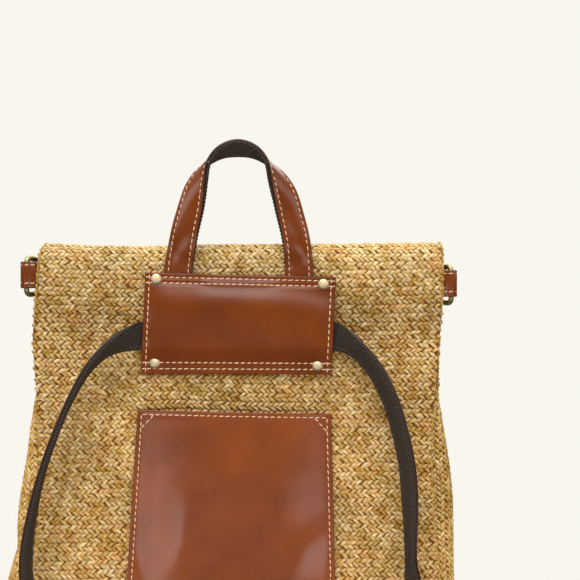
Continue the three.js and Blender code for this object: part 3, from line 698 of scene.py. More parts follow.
def herringbone(panel, seed, rows_run_along=False, hidden=None, free=(0, 1, 2, 3), laps=False):
    """Middles, directions and tones of a panel's bundles. None reaches past the edges that are free."""
    rng = np.random.default_rng(seed)
    ranges = [(panel.first.min(), (panel.first + panel.width).max()), (0, panel.length[-1])]
    (a0, a1), (b0, b1) = reversed(ranges) if rows_run_along else ranges
    k, j = np.meshgrid(np.arange(math.ceil((a1 - a0) / BUNDLE)), np.arange(math.ceil((b1 - b0) / ROW)))
    k, j = k.ravel(), j.ravel()
    a = a0 + (k + 0.5 * (j % 2) + STRAY * rng.standard_normal(len(k))) * BUNDLE
    b = b0 + (j + 0.5) * ROW
    b = b + ROW_BEND * waves(rng, a, b, 0.05, 0.16) + ROW_STRAY * rng.standard_normal(len(k))
    s, t = (a, b) if rows_run_along else (b, a)
    points, down, over, normal, inside = panel.sample(s, t)
    sewn_on = sewn_to_gusset(points) & laps  # the back panel laps over the gusset's edge
    keep = inside.min(axis=0) > np.where(sewn_on, -BUNDLE / 2, EDGE_IN)
    if hidden is not None:
        keep &= ~hidden(points)
    points, down, over, normal = points[keep], down[keep], over[keep], normal[keep]
    run, rise = (down, over) if rows_run_along else (over, down)
    rise = unit(rise - run * (rise * run).sum(axis=1, keepdims=True))
    lean = np.where(j % 2 == 0, LEAN, -LEAN)[keep] + LEAN_SPREAD * rng.standard_normal(keep.sum())
    along = run * np.cos(lean)[:, None] + rise * np.sin(lean)[:, None]
    side = np.cross(normal, along)
    roll = ROLL * np.where(side[:, 2] < 0, -1, 1)[:, None]
    up = normal * np.cos(roll) + side * np.sin(roll)
    side = np.cross(up, along)
    along, up = along * math.cos(DIVE) - up * math.sin(DIVE), up * math.cos(DIVE) + along * math.sin(DIVE)
    size = 1 + SIZE_SPREAD * rng.standard_normal((keep.sum(), 3)).clip(-2, 2)
    sunk = BUNDLE_SUNK + SUNK_SPREAD * rng.random(keep.sum()) - FOLD_LIFT * np.clip(normal[:, 2], 0, 1)
    # Where the fold faces up or nears the top, its bundles are fuller, and paler with painted light.
    folded = np.clip(np.maximum(normal[:, 2], (points[:, 2] - FOLD_FROM) / FOLD_TALL), 0, 1)
    fuller = 1 + FOLD_FULLER * folded  # the fold spreads the rows, and the bundles fill it
    past = np.where(sewn_on, PAST_SEWN, PAST_FREE)
    room = 2 * (np.maximum(inside[list(free)].min(axis=0), 0) + past)[keep] / math.cos(LEAN)
    return {
        "middle": points - normal * sunk[:, None],
        "along": along,
        "side": side,
        "up": up,
        "length": np.minimum(BUNDLE_LONG * size[:, 0], room),
        "width": BUNDLE_WIDE * size[:, 1] * fuller,
        "height": BUNDLE_THICK * size[:, 2],
        "sag": 0.0009,
    }, raffia_tones(rng, a[keep], b[keep], FOLD_PAINTED_LIGHT * folded)


# %% Strands
def fibres(local, starts):
    """Every spindle's own points as fibre coordinates, moved along by a start of its own."""
    fibre = np.repeat(local[None], len(starts), axis=0)
    fibre[:, :, 0] += starts[:, None]
    return fibre.reshape(-1, 3)


def strands(name, bundles, tones, seed, shape=STRAND):
    """Joins a panel's bundles into one piece, with a tone and fibre coordinates on every point."""
    points, faces = spindles(shape, **bundles)
    points[:, 2] = np.maximum(points[:, 2], 0)  # pressed flat where the bag stands
    local = shape[0]
    # Painted shade: a bundle's ends, where they dive under its neighbours, and its underside are darker,
    # most of all in blue.
    painted_end_shade = 1 - 0.45 * local[:, 0] ** 2 - 0.13 * (local[:, 2] < 0)
    painted_shade_per_channel = np.column_stack([painted_end_shade, painted_end_shade ** 1.35, painted_end_shade ** 5, np.ones(len(local))])
    tones = tones[:, None] * painted_shade_per_channel[None]
    fibre = fibres(local, np.random.default_rng(seed).uniform(0, 500, len(tones)))
    piece(name, points, faces, straw_look, "straw", tone=tones.reshape(-1, 4), fibre=fibre)
    print(name, len(tones), "bundles,", len(faces), "triangles")


# %% Bundles of every panel
def covered(tree, x, y, z, rim, above):
    """True where rays along +Y meet a solid beside, above and below a place."""
    around = ((x + rim, z), (x - rim, z), (x, z + above), (x, z - rim))
    return all(tree.ray_cast(Vector((a, y, b)), (0, 1, 0))[0] is not None for a, b in around)


RIMS = {"back_pocket": 0.006, "strap_cover": 0.004}  # metres in from its edge that straw still shows beside
FLAP_RIM = 0.009


def under_leather(points):
    """True where a bundle is well under the pocket or the strap cover, and so never seen."""
    under = np.zeros(len(points), bool)
    for node, rim in RIMS.items():
        tree = caster(node)
        for i, (x, y, z) in enumerate(points):
            if y <= BACK_SIDE and not under[i]:
                under[i] = covered(tree, x, -FAR, z, rim, 3 * rim)
    return under


def under_flap(points):
    """True where a bundle of the front panel is well under the flap."""
    return np.array([covered(sheet_tree, x, y, z, FLAP_RIM, FLAP_RIM) for x, y, z in points])


# Painted shade on the back panel's straw: the shadow that the strap casts inside its arch, and a darker band
# beside the strap cover.
STRAP_SHADE_WIDE = 0.014  # metres inside the strap
COVER_SHADE_Z, COVER_SHADE_TALL = 0.262, 0.017  # beside the cover
COVER_SHADE_X, COVER_SHADE_EASE = 0.055, 0.015  # x that this begins at, and metres until it is full
PAINTED_SHADE_DARK = 0.2  # share of the light that the painted shade takes away


def painted_strap_shade(points):
    """How much painted shade darkens the straw there: the strap's shadow inside its arch, and a band beside
    the strap cover.
    """
    strap, inner = caster("strap_lining"), np.zeros(len(points))
    for i, (x, y, z) in enumerate(points):
        near = strap.find_nearest(Vector((x, y, z)))[0]
        if abs(x) < abs(near.x):
            inner[i] = math.exp(-(math.hypot(near.x - x, near.z - z) / STRAP_SHADE_WIDE) ** 2)
    x, y, z = points.T
    beside = np.clip((abs(x) - COVER_SHADE_X) / COVER_SHADE_EASE, 0, 1) * np.exp(-((z - COVER_SHADE_Z) / COVER_SHADE_TALL) ** 2)
    return np.maximum(inner, beside) * (y < BACK_SIDE)


def chosen(bundles, tones, mask):
    return {key: value[mask] if np.ndim(value) else value for key, value in bundles.items()}, tones[mask]


bundles, tones = herringbone(sheet, 11, hidden=under_leather, laps=True)
middle = bundles["middle"]
# The painted strap shadow and the band beside the cover darken the bundles' tones.
tones[:, :3] *= (1 - PAINTED_SHADE_DARK * painted_strap_shade(middle))[:, None]
on_back = (middle[:, 1] < FOLD_MIDDLE[0]) & (middle[:, 2] < FOLD_MIDDLE[1])
strands("back_strands", *chosen(bundles, tones, on_back), 21)
strands("flap_strands", *chosen(bundles, tones, ~on_back), 22)
strands("front_strands", *herringbone(front, 13, hidden=under_flap, free=(3,)), 23, PLAIN_STRAND)
strands("gusset_strands", *herringbone(band, 14, rows_run_along=True, free=(2, 3)), 24, PLAIN_STRAND)

# %% [markdown]
# ## The wall behind the plait
#
# Between the bundles one looks into dark gaps, and from the side one sees the inside of the wall. Both are
# one thin closed shell for each panel, just under the bundles. Its outer face is dark with painted shade,
# the shade in the depths of a plait, and paler with painted light where the fold faces up. Its inner face
# has the same herringbone as a pattern, because it is only seen through the open ends of the fold. Bundles
# wrapped round every free edge finish the flap, the sides and the rim.

# %% Wall material
wall_look, tree = material("raffia_wall")
parts = parts_of(tree, "weave")
row = maths(tree, "DIVIDE", parts[1], ROW)
leaning = maths(tree, "MULTIPLY", maths(tree, "PINGPONG", row, 1.0), ROW / math.tan(LEAN) / BUNDLE)
phase = maths(tree, "ADD", maths(tree, "DIVIDE", parts[0], BUNDLE), leaning)
ridge = ranged(tree, maths(tree, "SINE", maths(tree, "MULTIPLY", phase, 2 * math.pi)), (-1.0, 1.0))
drift = use(tree, "drifting_tone", Size=60.0, Dark=colour(170, 128, 70), Light=colour(214, 176, 114))
inner = mix(tree, ridge, colour(120, 82, 34), drift["Color"])
surface(tree, {
    # The outer face's dark brown is painted shade for the plait's shaded depths. Where the fold faces up,
    # painted light lets the paler inner pattern show.
    "Base Color": mix(tree, parts[2], colour(126, 76, 8), inner),
    "Roughness": 0.75,
    "Normal": bump(tree, ridge, 0.5, 0.0008),
})
print("material:", wall_look.name)

# %% Shells
WALL_DEPTHS = (0.0017, 0.0025)  # metres from a panel's face in to its wall's two faces
WALL_INSET = 0.0007  # metres that a wall stops short of its panel's edge
WALL_LIFT = 0.0006  # metres nearer the bundles where the fold spreads them
WALL_PAINTED_LIGHT = 0.4  # and how much of the inner face's paler pattern shows there, as painted light where the fold faces up


def numbered(count, columns):
    """The point numbers of a grid, and its faces."""
    index = np.arange(count * columns).reshape(count, columns)
    corners = index[:-1, :-1], index[:-1, 1:], index[1:, 1:], index[1:, :-1]
    return index, np.stack(corners, axis=-1).reshape(-1, 4)


def facing_out(made):
    """Turns a closed mesh's faces outwards."""
    work = bmesh.new()
    work.from_mesh(made.data)
    bmesh.ops.recalc_face_normals(work, faces=work.faces)
    work.to_mesh(made.data)
    work.free()


def shell(name, panel, replaces, lap=-WALL_INSET):
    """A closed thin wall under a panel's bundles, of every second station. It may lap over the gusset."""
    rows = np.unique(np.append(np.arange(0, len(panel.grid), 2), len(panel.grid) - 1))
    grid, normal = panel.grid[rows], panel.normal[rows]
    count, columns = grid.shape[:2]
    inset = np.zeros((count, columns, 1))
    inset[:, 0, 0] = np.where(sewn_to_gusset(grid[:, 0]), -lap, WALL_INSET)
    inset[:, -1] = -inset[:, 0]
    grid = grid + panel.over[rows] * inset
    shallow = WALL_LIFT * np.clip(normal[..., 2:], 0, 1)
    points = np.concatenate([(grid - normal * (depth - shallow)).reshape(-1, 3) for depth in WALL_DEPTHS])
    index, quads = numbered(count, columns)
    shift = count * columns
    ring = np.concatenate([index[0], index[1:, -1], index[-1, -2::-1], index[-2:0:-1, 0]])
    after = np.roll(ring, -1)
    rim = np.stack([ring, after, after + shift, ring + shift], axis=-1)
    faces = np.concatenate([quads[:, ::-1], quads + shift, rim])
    weave = np.zeros((2, count, columns, 3))
    weave[..., 0] = panel.first[rows][:, None] + np.linspace(0, 1, columns) * panel.width[rows][:, None]
    weave[..., 1] = panel.length[rows][:, None]
    # Painted light on the outer face, where the fold faces up.
    weave[0, ..., 2] = WALL_PAINTED_LIGHT * np.clip(normal[..., 2], 0, 1)
    weave[1, ..., 2] = 1
    made = piece(name, points, faces, wall_look, "straw", replaces, weave=weave.reshape(-1, 3))
    facing_out(made)
    print(name, len(faces), "faces")


shell("back_flap_wall", sheet, ["woven_back_flap"], lap=0.0006)
shell("front_wall", front, ["woven_front_sides"])
shell("gusset_wall", band, ["woven_front_sides"])


# %% Wrapped edges
WRAP = 0.0027  # metres from one wrapped bundle to the next
WRAP_LONG, WRAP_WIDE, WRAP_THICK = 0.0046, 0.0026, 0.0019
WRAP_LEAN, WRAP_SPREAD = math.radians(48), math.radians(7)
WRAP_STRAY = 0.0003  # metres along the edge


def wrapped(panel, seed, sides=(), ends=(), start=0, stop=None, behind=0.0012, inward=0.0009):
    """Bundles round a panel's edges: its long sides (0, -1) between two stations, and its ends (0, -1)."""
    rng = np.random.default_rng(seed)
    runs = []
    for side in sides:
        part = slice(start, stop), side
        out = panel.over[part] * (1 if side else -1)
        runs.append((panel.grid[part], panel.down[part], out, panel.normal[part]))
    for end in ends:
        out = panel.down[end] * (1 if end else -1)
        runs.append((panel.grid[end], panel.over[end], out, panel.normal[end]))
    parts = []
    for line, ahead, out, normal in runs:
        length = run_of(line)
        at = np.arange(WRAP, length[-1], WRAP)
        at = at + WRAP_STRAY * rng.standard_normal(len(at))
        parts.append([read_line(at, length, field) for field in (line, ahead, out, normal)])
    line, ahead, out, normal = (np.concatenate(column) for column in zip(*parts))
    ahead, out, normal = unit(ahead), unit(out), unit(normal)
    lean = WRAP_LEAN + WRAP_SPREAD * rng.standard_normal(len(line))
    along = unit(ahead * np.cos(lean)[:, None] + normal * np.sin(lean)[:, None])
    size = 1 + SIZE_SPREAD * rng.standard_normal((len(line), 3)).clip(-2, 2)
    return {
        "middle": line - normal * behind - out * inward,
        "along": along,
        "side": np.cross(out, along),
        "up": out,
        "length": WRAP_LONG * size[:, 0],
        "width": WRAP_WIDE * size[:, 1],
        "height": WRAP_THICK * size[:, 2],
        "sag": 0.0003,
    }, raffia_tones(rng, line[:, 0] + line[:, 1], line[:, 2])


# %% Edges of every panel
FREE_ABOVE = 0.262  # z above which the sheet's sides are free
SEAM_BELOW = 0.2  # z below which bundles fill the crease between them and the gusset
side_heights = sheet.grid[:, 0, 2]
free_from, sewn_up_to = (int(np.argmax(side_heights > z)) for z in (FREE_ABOVE, SEAM_BELOW))
strands("back_flap_edge", *wrapped(sheet, 15, sides=(0, -1), ends=(-1,), start=free_from), 25)
seam = wrapped(sheet, 18, sides=(0, -1), stop=sewn_up_to, behind=0.0022, inward=-0.0006)
strands("gusset_seam", *seam, 28)
strands("front_rim_edge", *wrapped(front, 16, ends=(-1,)), 26)
strands("gusset_rim_edge", *wrapped(band, 17, ends=(0, -1)), 27)

# %% [markdown]
# ## Leather pocket and strap cover
#
# Both are cut from smooth brown hide and sewn on with cream thread. The frame gives their shape, so rays
# from the wearer's side read it onto a fine grid. Solidify gives the grid its thickness and Bevel rounds
# the cut edge. That is quicker and cleaner than bevelling the solid itself, and the fine grid can carry
# what the solid leaves out: the groove that a seam presses into leather, and slow hand-made waves.


# %% Patches
GROOVE_DEEP, GROOVE_WIDE = 0.00022, 0.0009  # what a seam presses into leather


class Patch:
    """A four-cornered leather sheet on the back panel, read from a node of the frame."""

    def __init__(self, node, pitch, wave, smooth):
        self.tree = caster(node)
        places = np.array([v.co for v in frame["nodes"][node].data.vertices])
        flat = places[:, [0, 2]]
        ways = ((-1, 1), (1, 1), (-1, -1), (1, -1))  # upper left, upper right, lower left, lower right
        self.corners = [flat[np.argmax(a * flat[:, 0] + b * flat[:, 1])] for a, b in ways]
        self.width = np.linalg.norm(self.corners[1] - self.corners[0])
        self.height = np.linalg.norm(self.corners[2] - self.corners[0])
        columns, rows = int(self.width / pitch) + 1, int(self.height / pitch) + 1
        u, v = (share.ravel() for share in np.meshgrid(np.linspace(0, 1, columns), np.linspace(0, 1, rows)))
        xz = self.flat(u, v)
        depth = np.array([self.face(*p) for p in xz]) - wave(u, v)
        self.grid = np.stack([xz[:, 0], depth, xz[:, 1]], axis=1).reshape(rows, columns, 3)
        self.grid[:, :, 1] = eased(self.grid.copy(), smooth)[:, :, 1]  # moves in depth alone

    def flat(self, u, v):
        """x and z at a share of the width and a share of the height, measured from the upper left corner."""
        tl, tr, bl, br = self.corners
        u, v = np.asarray(u)[:, None], np.asarray(v)[:, None]
        return (tl * (1 - u) + tr * u) * (1 - v) + (bl * (1 - u) + br * u) * v

    def face(self, x, z):
        """The solid's outer face. Just inside the edge, so that no ray slips past it."""
        middle = np.mean(self.corners, axis=0)
        pull = 1 - 0.0002 / max(abs(x - middle[0]) + abs(z - middle[1]), 0.01)
        x, z = middle[0] + (x - middle[0]) * pull, middle[1] + (z - middle[1]) * pull
        for lift in (0, 0.002, -0.002):
            hit = self.tree.ray_cast(Vector((x, -FAR, z + lift)), (0, 1, 0))[0]
            if hit is not None and hit.y < BACK_FACE - 0.001:
                return hit.y
        return BACK_FACE - 0.002

    def press(self, seam):
        """Presses a seam's groove into the face."""
        line = self.flat(*np.array(seam).T)
        flat = self.grid[:, :, [0, 2]]
        for start, end in zip(line[:-1], line[1:]):
            way = end - start
            share = np.clip(((flat - start) @ way) / (way @ way), 0, 1)
            gap = np.linalg.norm(flat - start - share[..., None] * way, axis=-1)
            self.grid[:, :, 1] += GROOVE_DEEP * np.exp(-((gap / GROOVE_WIDE) ** 2))

    def sample(self, u, v):
        """Points and outward normals on the face."""
        rows, columns = self.grid.shape[:2]
        normal = unit(np.cross(np.gradient(self.grid, axis=0), np.gradient(self.grid, axis=1)))
        normal *= -np.sign(normal[rows // 2, columns // 2, 1])
        points, normals = read_grid((self.grid, normal), v * (rows - 1), u * (columns - 1))
        return points, unit(normals)


# %% Thickness and cut edge
ROUND_EDGE = 0.0005  # metres that a cut edge is rounded by


def baked(made):
    """Replaces an object's mesh by the one that its modifiers make."""
    graph = bpy.context.evaluated_depsgraph_get()
    mesh = bpy.data.meshes.new_from_object(made.evaluated_get(graph))
    made.modifiers.clear()
    made.data = mesh
    return mesh


def leather_patch(name, patch, look, thick, replaces):
    """A patch's grid as a piece, with its thickness, a rounded cut edge and each point's way in from it."""
    faces = numbered(*patch.grid.shape[:2])[1][:, [0, 3, 2, 1]]
    made = piece(name, patch.grid.reshape(-1, 3), faces, look, "leather", replaces)
    solid = made.modifiers.new("thickness", "SOLIDIFY")
    solid.thickness = thick
    solid.offset = -1
    soft = made.modifiers.new("cut edge", "BEVEL")
    soft.width = ROUND_EDGE
    soft.segments = 3
    soft.limit_method = "ANGLE"
    soft.angle_limit = math.radians(50)
    mesh = baked(made)
    flat = np.array([v.co for v in mesh.vertices])[:, [0, 2]]
    tl, tr, bl, br = patch.corners
    inside = np.full(len(flat), 1.0)
    for start, end in ((tl, tr), (tr, br), (br, bl), (bl, tl)):
        way = unit(end - start)
        inside = np.minimum(inside, np.abs((flat - start) @ np.array([way[1], -way[0]])))
    mesh.attributes.new("edge", "FLOAT", "POINT").data.foreach_set("value", inside.astype(np.float32))
    print(name, len(mesh.polygons), "faces")


# %% Stitches
THREAD = 0.0008  # thickness of the sewing thread
THREAD_LIFT = 0.00022  # metres from the groove up to the middle of a stitch
PITCH, STITCH_LONG = 0.0043, 0.0034  # metres from stitch to stitch, and of one stitch
STITCH_DIP = 0.0004  # metres that its ends dip
STITCH_SKEW, SKEW_SPREAD = math.radians(7), math.radians(3)
STITCH = spindle_shape(6, 3)


def stitch_line(patch, line, rng, length=STITCH_LONG):
    """Stitches along a line of (u, v) corners on a patch."""
    flat = patch.flat(*np.array(line).T)
    found = []
    for (u0, v0), (u1, v1), start, end in zip(line[:-1], line[1:], flat[:-1], flat[1:]):
        count = max(1, round(np.linalg.norm(end - start) / PITCH))
        share = (np.arange(count) + 0.5) / count
        point, normal = patch.sample(u0 + (u1 - u0) * share, v0 + (v1 - v0) * share)
        ahead = np.append(unit(end - start), 0)[[0, 2, 1]]
        found.append((point, normal, unit(ahead - normal * (normal @ ahead)[:, None])))
    point, normal, ahead = (np.concatenate(part) for part in zip(*found))
    return stitches(point, normal, ahead, length, rng)


def stitches(point, normal, ahead, length, rng, thick=THREAD):
    """Single stitches, each a little askew, whose ends dip into the leather."""
    skew = STITCH_SKEW + SKEW_SPREAD * rng.standard_normal(len(point))
    side = np.cross(normal, ahead)
    along = unit(ahead * np.cos(skew)[:, None] + side * np.sin(skew)[:, None])
    return {
        "middle": point + normal * THREAD_LIFT,
        "along": along,
        "side": np.cross(normal, along),
        "up": normal,
        "length": length * (1 + 0.06 * rng.standard_normal(len(point))),
        "width": np.full(len(point), thick),
        "height": np.full(len(point), thick),
        "sag": np.full(len(point), STITCH_DIP),
    }


def sewn(name, runs, look=cream_thread_look, slot="leather"):
    """Joins runs of stitches into one piece."""
    joined = {key: np.concatenate([run[key] for run in runs]) for key in runs[0]}
    count = len(joined["middle"])
    points, faces = spindles(STITCH, **joined)
    piece(name, points, faces, look, slot, fibre=fibres(STITCH[0], 3.7 * np.arange(count)))
    print(name, count, "stitches")


def inset(patch, by):
    """(u, v) corners of a rectangle at a distance from a patch's edges: upper two, then lower two."""
    u, v = by / patch.width, by / patch.height
    return (u, v), (1 - u, v), (u, 1 - v), (1 - u, 1 - v)


# %% Pocket
def shoulder(share, start, end):
    """Rises from 0 to 1 between two places, steep at first and then level."""
    return np.sin(np.clip((share - start) / (end - start), 0, 1) * math.pi / 2)


def ease(share, start, end):
    x = np.clip((share - start) / (end - start), 0, 1)
    return x * x * (3 - 2 * x)


def dent(u, v, at_u, at_v, wide, tall):
    return np.exp(-(((u - at_u) / wide) ** 2) - ((v - at_v) / tall) ** 2)


def pocket_waves(u, v):
    """The pocket front is creased low down: a fold in its left third and a softer one at its lower right."""
    left = ease(v, 0.22, 0.45) * (1 - 0.8 * ease(v, 0.58, 0.75))
    left = 0.0013 * left * np.exp(-(((u - 0.26 + 0.25 * np.clip(v - 0.55, 0, 1)) / 0.085) ** 2))
    right = 0.0011 * ease(v, 0.42, 0.6) * np.exp(-(((u - 0.97 + 0.81 * (v - 0.45)) / 0.09) ** 2))
    small = 0.0005 * dent(u, v, 0.465, 0.21, 0.015, 0.05) + 0.0005 * dent(u, v, 0.475, 0.74, 0.02, 0.06)
    corner = 0.0007 * dent(u - 0.35 * (v - 0.68), v, 0.07, 0.68, 0.03, 0.07)
    return left + right - small - corner


SEAM = 0.0029  # metres from a seam to the edge
pocket_patch = Patch("back_pocket", pitch=0.0017, wave=pocket_waves, smooth=4)
tl, tr, bl, br = inset(pocket_patch, SEAM)
pocket_patch.press([tl, tr, br, bl, tl])
leather_patch("pocket_front", pocket_patch, pocket_look, thick=0.0018, replaces=["back_pocket"])

BAR = (0.0085, 0.0097)  # metres across and down of the short seams that bar the upper corners
bar_u, bar_v = BAR[0] / pocket_patch.width, BAR[1] / pocket_patch.height
pocket_lines = [[tl, tr], [tl, bl, br, tr]]
for corner, across_bar in ((tl, bar_u), (tr, -bar_u)):
    pocket_lines.append([(corner[0] + across_bar, corner[1]), (corner[0], corner[1] + bar_v)])
rng = np.random.default_rng(31)
sewn("pocket_stitches", [stitch_line(pocket_patch, line, rng) for line in pocket_lines])


# %% Strap cover
def cover_waves(u, v):
    """The cover is padded out by the handle's ends, most under its upper seams, and slack below them."""
    low = v - 0.06 * (u - 0.5) - 0.08 * ease(u, 0.8, 1.0)  # lower on the right, most at the end
    down = shoulder(low, 0.09, 0.38) * (1 - 0.85 * ease(low, 0.3, 0.9))
    padded = 0.002 * down * shoulder(u, 0.0, 0.12) * shoulder(1 - u, -0.12, 0.1)
    slack = 0.0008 * np.sin(2 * math.pi * (0.9 * u + 0.35)) * np.exp(-(((v - 0.72) / 0.12) ** 2))
    between_ends = (1 - ease(np.abs(u - 0.5), 0.147, 0.225)) * (1 - ease(v, 0.015, 0.15))
    return padded + slack + 0.002 * between_ends


cover_patch = Patch("strap_cover", pitch=0.0011, wave=cover_waves, smooth=50)
COVER_SIDE = 0.0031  # metres from the upright seams to the edge
COVER_ROWS = (0.0029, 0.0067, -0.0079, -0.0036)  # the level seams, from the top edge or up from the low one
CORNER_STITCH = 0.0026  # metres of a stitch between an upright seam and the edge
NEAR_SIDE, NEAR_TOP = 0.003, 0.012  # shares of the width and the height at which the seams end
side = COVER_SIDE / cover_patch.width
cover_seams, corner_seams = [], []
for row in COVER_ROWS:
    v = row / cover_patch.height % 1
    cover_seams.append([(side, v), (1 - side, v)])
    corner_seams += [[(NEAR_SIDE, v), (side, v)], [(1 - side, v), (1 - NEAR_SIDE, v)]]
for u in (side, 1 - side):
    cover_seams.append([(u, NEAR_TOP), (u, 1 - NEAR_TOP)])
for line in cover_seams:
    cover_patch.press(line)
leather_patch("cover_leather", cover_patch, leather_look, thick=0.0019, replaces=["strap_cover"])

rng = np.random.default_rng(32)
cover_runs = [stitch_line(cover_patch, line, rng) for line in cover_seams]
cover_runs += [stitch_line(cover_patch, line, rng, CORNER_STITCH) for line in corner_seams]
sewn("cover_stitches", cover_runs)

# %% [markdown]
# ## Rivets
#
# Four domed caps hold the cover's corners. A flattened ball would be quicker to make, but a pressed cap has
# a low flange round its dome, and light catches on it. So a profile with that flange is spun about the cap's
# axis, which points out of the back panel.


# %% Turned caps
def turned(profile, sides):
    """Points (radius, height) spun about a vertical axis. The first and last lie on it."""
    angle = np.arange(sides) * 2 * math.pi / sides
    points = [(0, 0, profile[0][1])]
    for radius, height in profile[1:-1]:
        points += [(radius * math.cos(a), radius * math.sin(a), height) for a in angle]
    points.append((0, 0, profile[-1][1]))
    last, faces = len(points) - 1, []
    for i in range(sides):
        j = (i + 1) % sides
        faces += [(0, 1 + j, 1 + i), (last, last - sides + i, last - sides + j)]
        for ring in range(len(profile) - 3):
            a, b = 1 + ring * sides, 1 + (ring + 1) * sides
            faces.append((a + i, a + j, b + j, b + i))
    return np.array(points), faces


def cap_profile(radius, dome, seat):
    """From the underside's middle, out over the flange and up the dome."""
    lip = 0.16 * radius
    foot, base = 0.8 * radius, lip * 1.5
    under = [(0, -seat), (0.9 * radius, -seat), (radius, -seat + lip * 0.3)]
    flange = [(radius, lip * 0.4), (0.95 * radius, lip), (0.86 * radius, lip * 1.05), (foot, base)]
    bend = np.linspace(0.25, 1.45, 7)
    top = [(foot * math.cos(a), base + (dome - base) * math.sin(a)) for a in bend]
    return under + flange + top + [(0, dome)]


DOME, SEAT = 0.0014, 0.0004  # metres that a cap rises, and that it sinks into the leather
FLANGE = 0.0017  # metres from the solid's outermost point in to the flange
for node in ("rivet_top_left", "rivet_top_right", "rivet_low_left", "rivet_low_right"):
    low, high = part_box(node)
    middle = (low + high) / 2
    points, faces = turned(cap_profile((high.x - low.x) / 2, DOME, SEAT), 40)
    foot = low.y + FLANGE
    placed = np.stack([middle.x + points[:, 0], foot - points[:, 2], middle.z + points[:, 1]], axis=1)
    cap = piece(node + "_cap", placed, faces, cap_look, "metal", [node])
    facing_out(cap)
    print(cap.name, "at", [round(v, 4) for v in middle])

# %% [markdown]
# ## Handle and shoulder strap
#
# Each is a belt of two plies, leather and charcoal twill, sewn together along both edges. The frame's solids
# have the twist and the hang, in short straight steps. Every step of such a solid has four corners, and the
# two across its thickness are closer than any other two. That finds both edge lines, which a smooth curve
# then runs through. A fresh cross-section with rounded edges, a soft swell and pressed seams follows them.


# %% Edge lines of a ply
LONGEST_STEP = 0.0165  # metres between neighbours on an edge line, and less than a belt's width


def edge_lines(node, thick):
    """The two edge lines of a ply's solid, as matching rows of points, from its lower left end on."""
    corners = np.unique(np.round([tuple(v.co) for v in frame["nodes"][node].data.vertices], 7), axis=0)
    gaps = np.linalg.norm(corners[:, None] - corners[None], axis=2)
    first, second = np.nonzero(np.triu(np.abs(gaps - thick) < 4e-6))
    middles = (corners[first] + corners[second]) / 2
    lines = []
    left = list(range(len(middles)))
    here = min(left, key=lambda i: middles[i][0] + middles[i][2])
    while left:
        line = []
        while here is not None:
            line.append(here)
            left.remove(here)
            ahead = min(left, key=lambda i: np.linalg.norm(middles[i] - middles[line[-1]]), default=None)
            near = ahead is not None and np.linalg.norm(middles[ahead] - middles[line[-1]]) < LONGEST_STEP
            here = ahead if near else None
        lines.append(middles[line])
        if left:
            here = min(left, key=lambda i: np.linalg.norm(middles[i] - lines[0][0]))
    return lines


def curve_through(at, values, new):
    """A smooth curve through rows of values, read at new places."""
    slope = np.gradient(values, at, axis=0)
    i = np.clip(np.searchsorted(at, new) - 1, 0, len(at) - 2)
    span = (at[i + 1] - at[i])[:, None]
    t = ((new - at[i]) / (at[i + 1] - at[i]))[:, None]
    ease = t * t * (3 - 2 * t)
    bend = span * t * (1 - t) * ((1 - t) * slope[i] - t * slope[i + 1])
    return values[i] * (1 - ease) + values[i + 1] * ease + bend


LEATHER_PLY, LINING_PLY = 0.0015, 0.0012


def belt(leather_node, lining_node, pitch):
    """Middle lines of both plies, the way across, and the way from the lining out through the leather."""
    fields = []
    for node, thick in ((leather_node, LEATHER_PLY), (lining_node, LINING_PLY)):
        lines = edge_lines(node, thick)
        print(node, "edge lines of", [len(line) for line in lines], "points")
        fields += lines[:2]
    leather_mid, lining_mid = (fields[0] + fields[1]) / 2, (fields[2] + fields[3]) / 2
    length = run_of(leather_mid)
    new = np.linspace(0, length[-1], int(length[-1] / pitch))
    leather_mid, lining_mid, edge = (
        curve_through(length, values, new) for values in (leather_mid, lining_mid, fields[1] - fields[0]))
    across = unit(edge)
    out = unit(leather_mid - lining_mid)
    out = unit(out - across * (out * across).sum(axis=1, keepdims=True))
    return new, leather_mid, lining_mid, across, out


# %% One ply and its stitches
BELT_WIDTH, BELT_THREAD = 0.0192, 0.00068
RIB = 0.0026  # metres from rib to rib along the twill's edge
RIB_IN = 0.0006  # metres in from the edge that ribs show
SUNK, SUNK_WIDE = 0.00018, 0.0008  # depth and half width of a seam's groove in a ply
SWELL_IN = 0.0035  # metres from a ply's edge in to its swell
PLY_ROUND = 0.35  # share of the thickness that a rounded edge takes up


def tube_faces(rings, sides, closed=False):
    """Faces of a tube made of rings of points. Its two ends are filled, unless it closes on itself."""
    index = np.arange(rings * sides).reshape(rings, sides)
    before, after = (index, np.roll(index, -1, axis=0)) if closed else (index[:-1], index[1:])
    faces = np.stack([before, np.roll(before, -1, axis=1), np.roll(after, -1, axis=1), after], axis=-1)
    faces = faces.reshape(-1, 4).tolist()
    return faces if closed else faces + [index[0].tolist()[::-1], index[-1].tolist()]


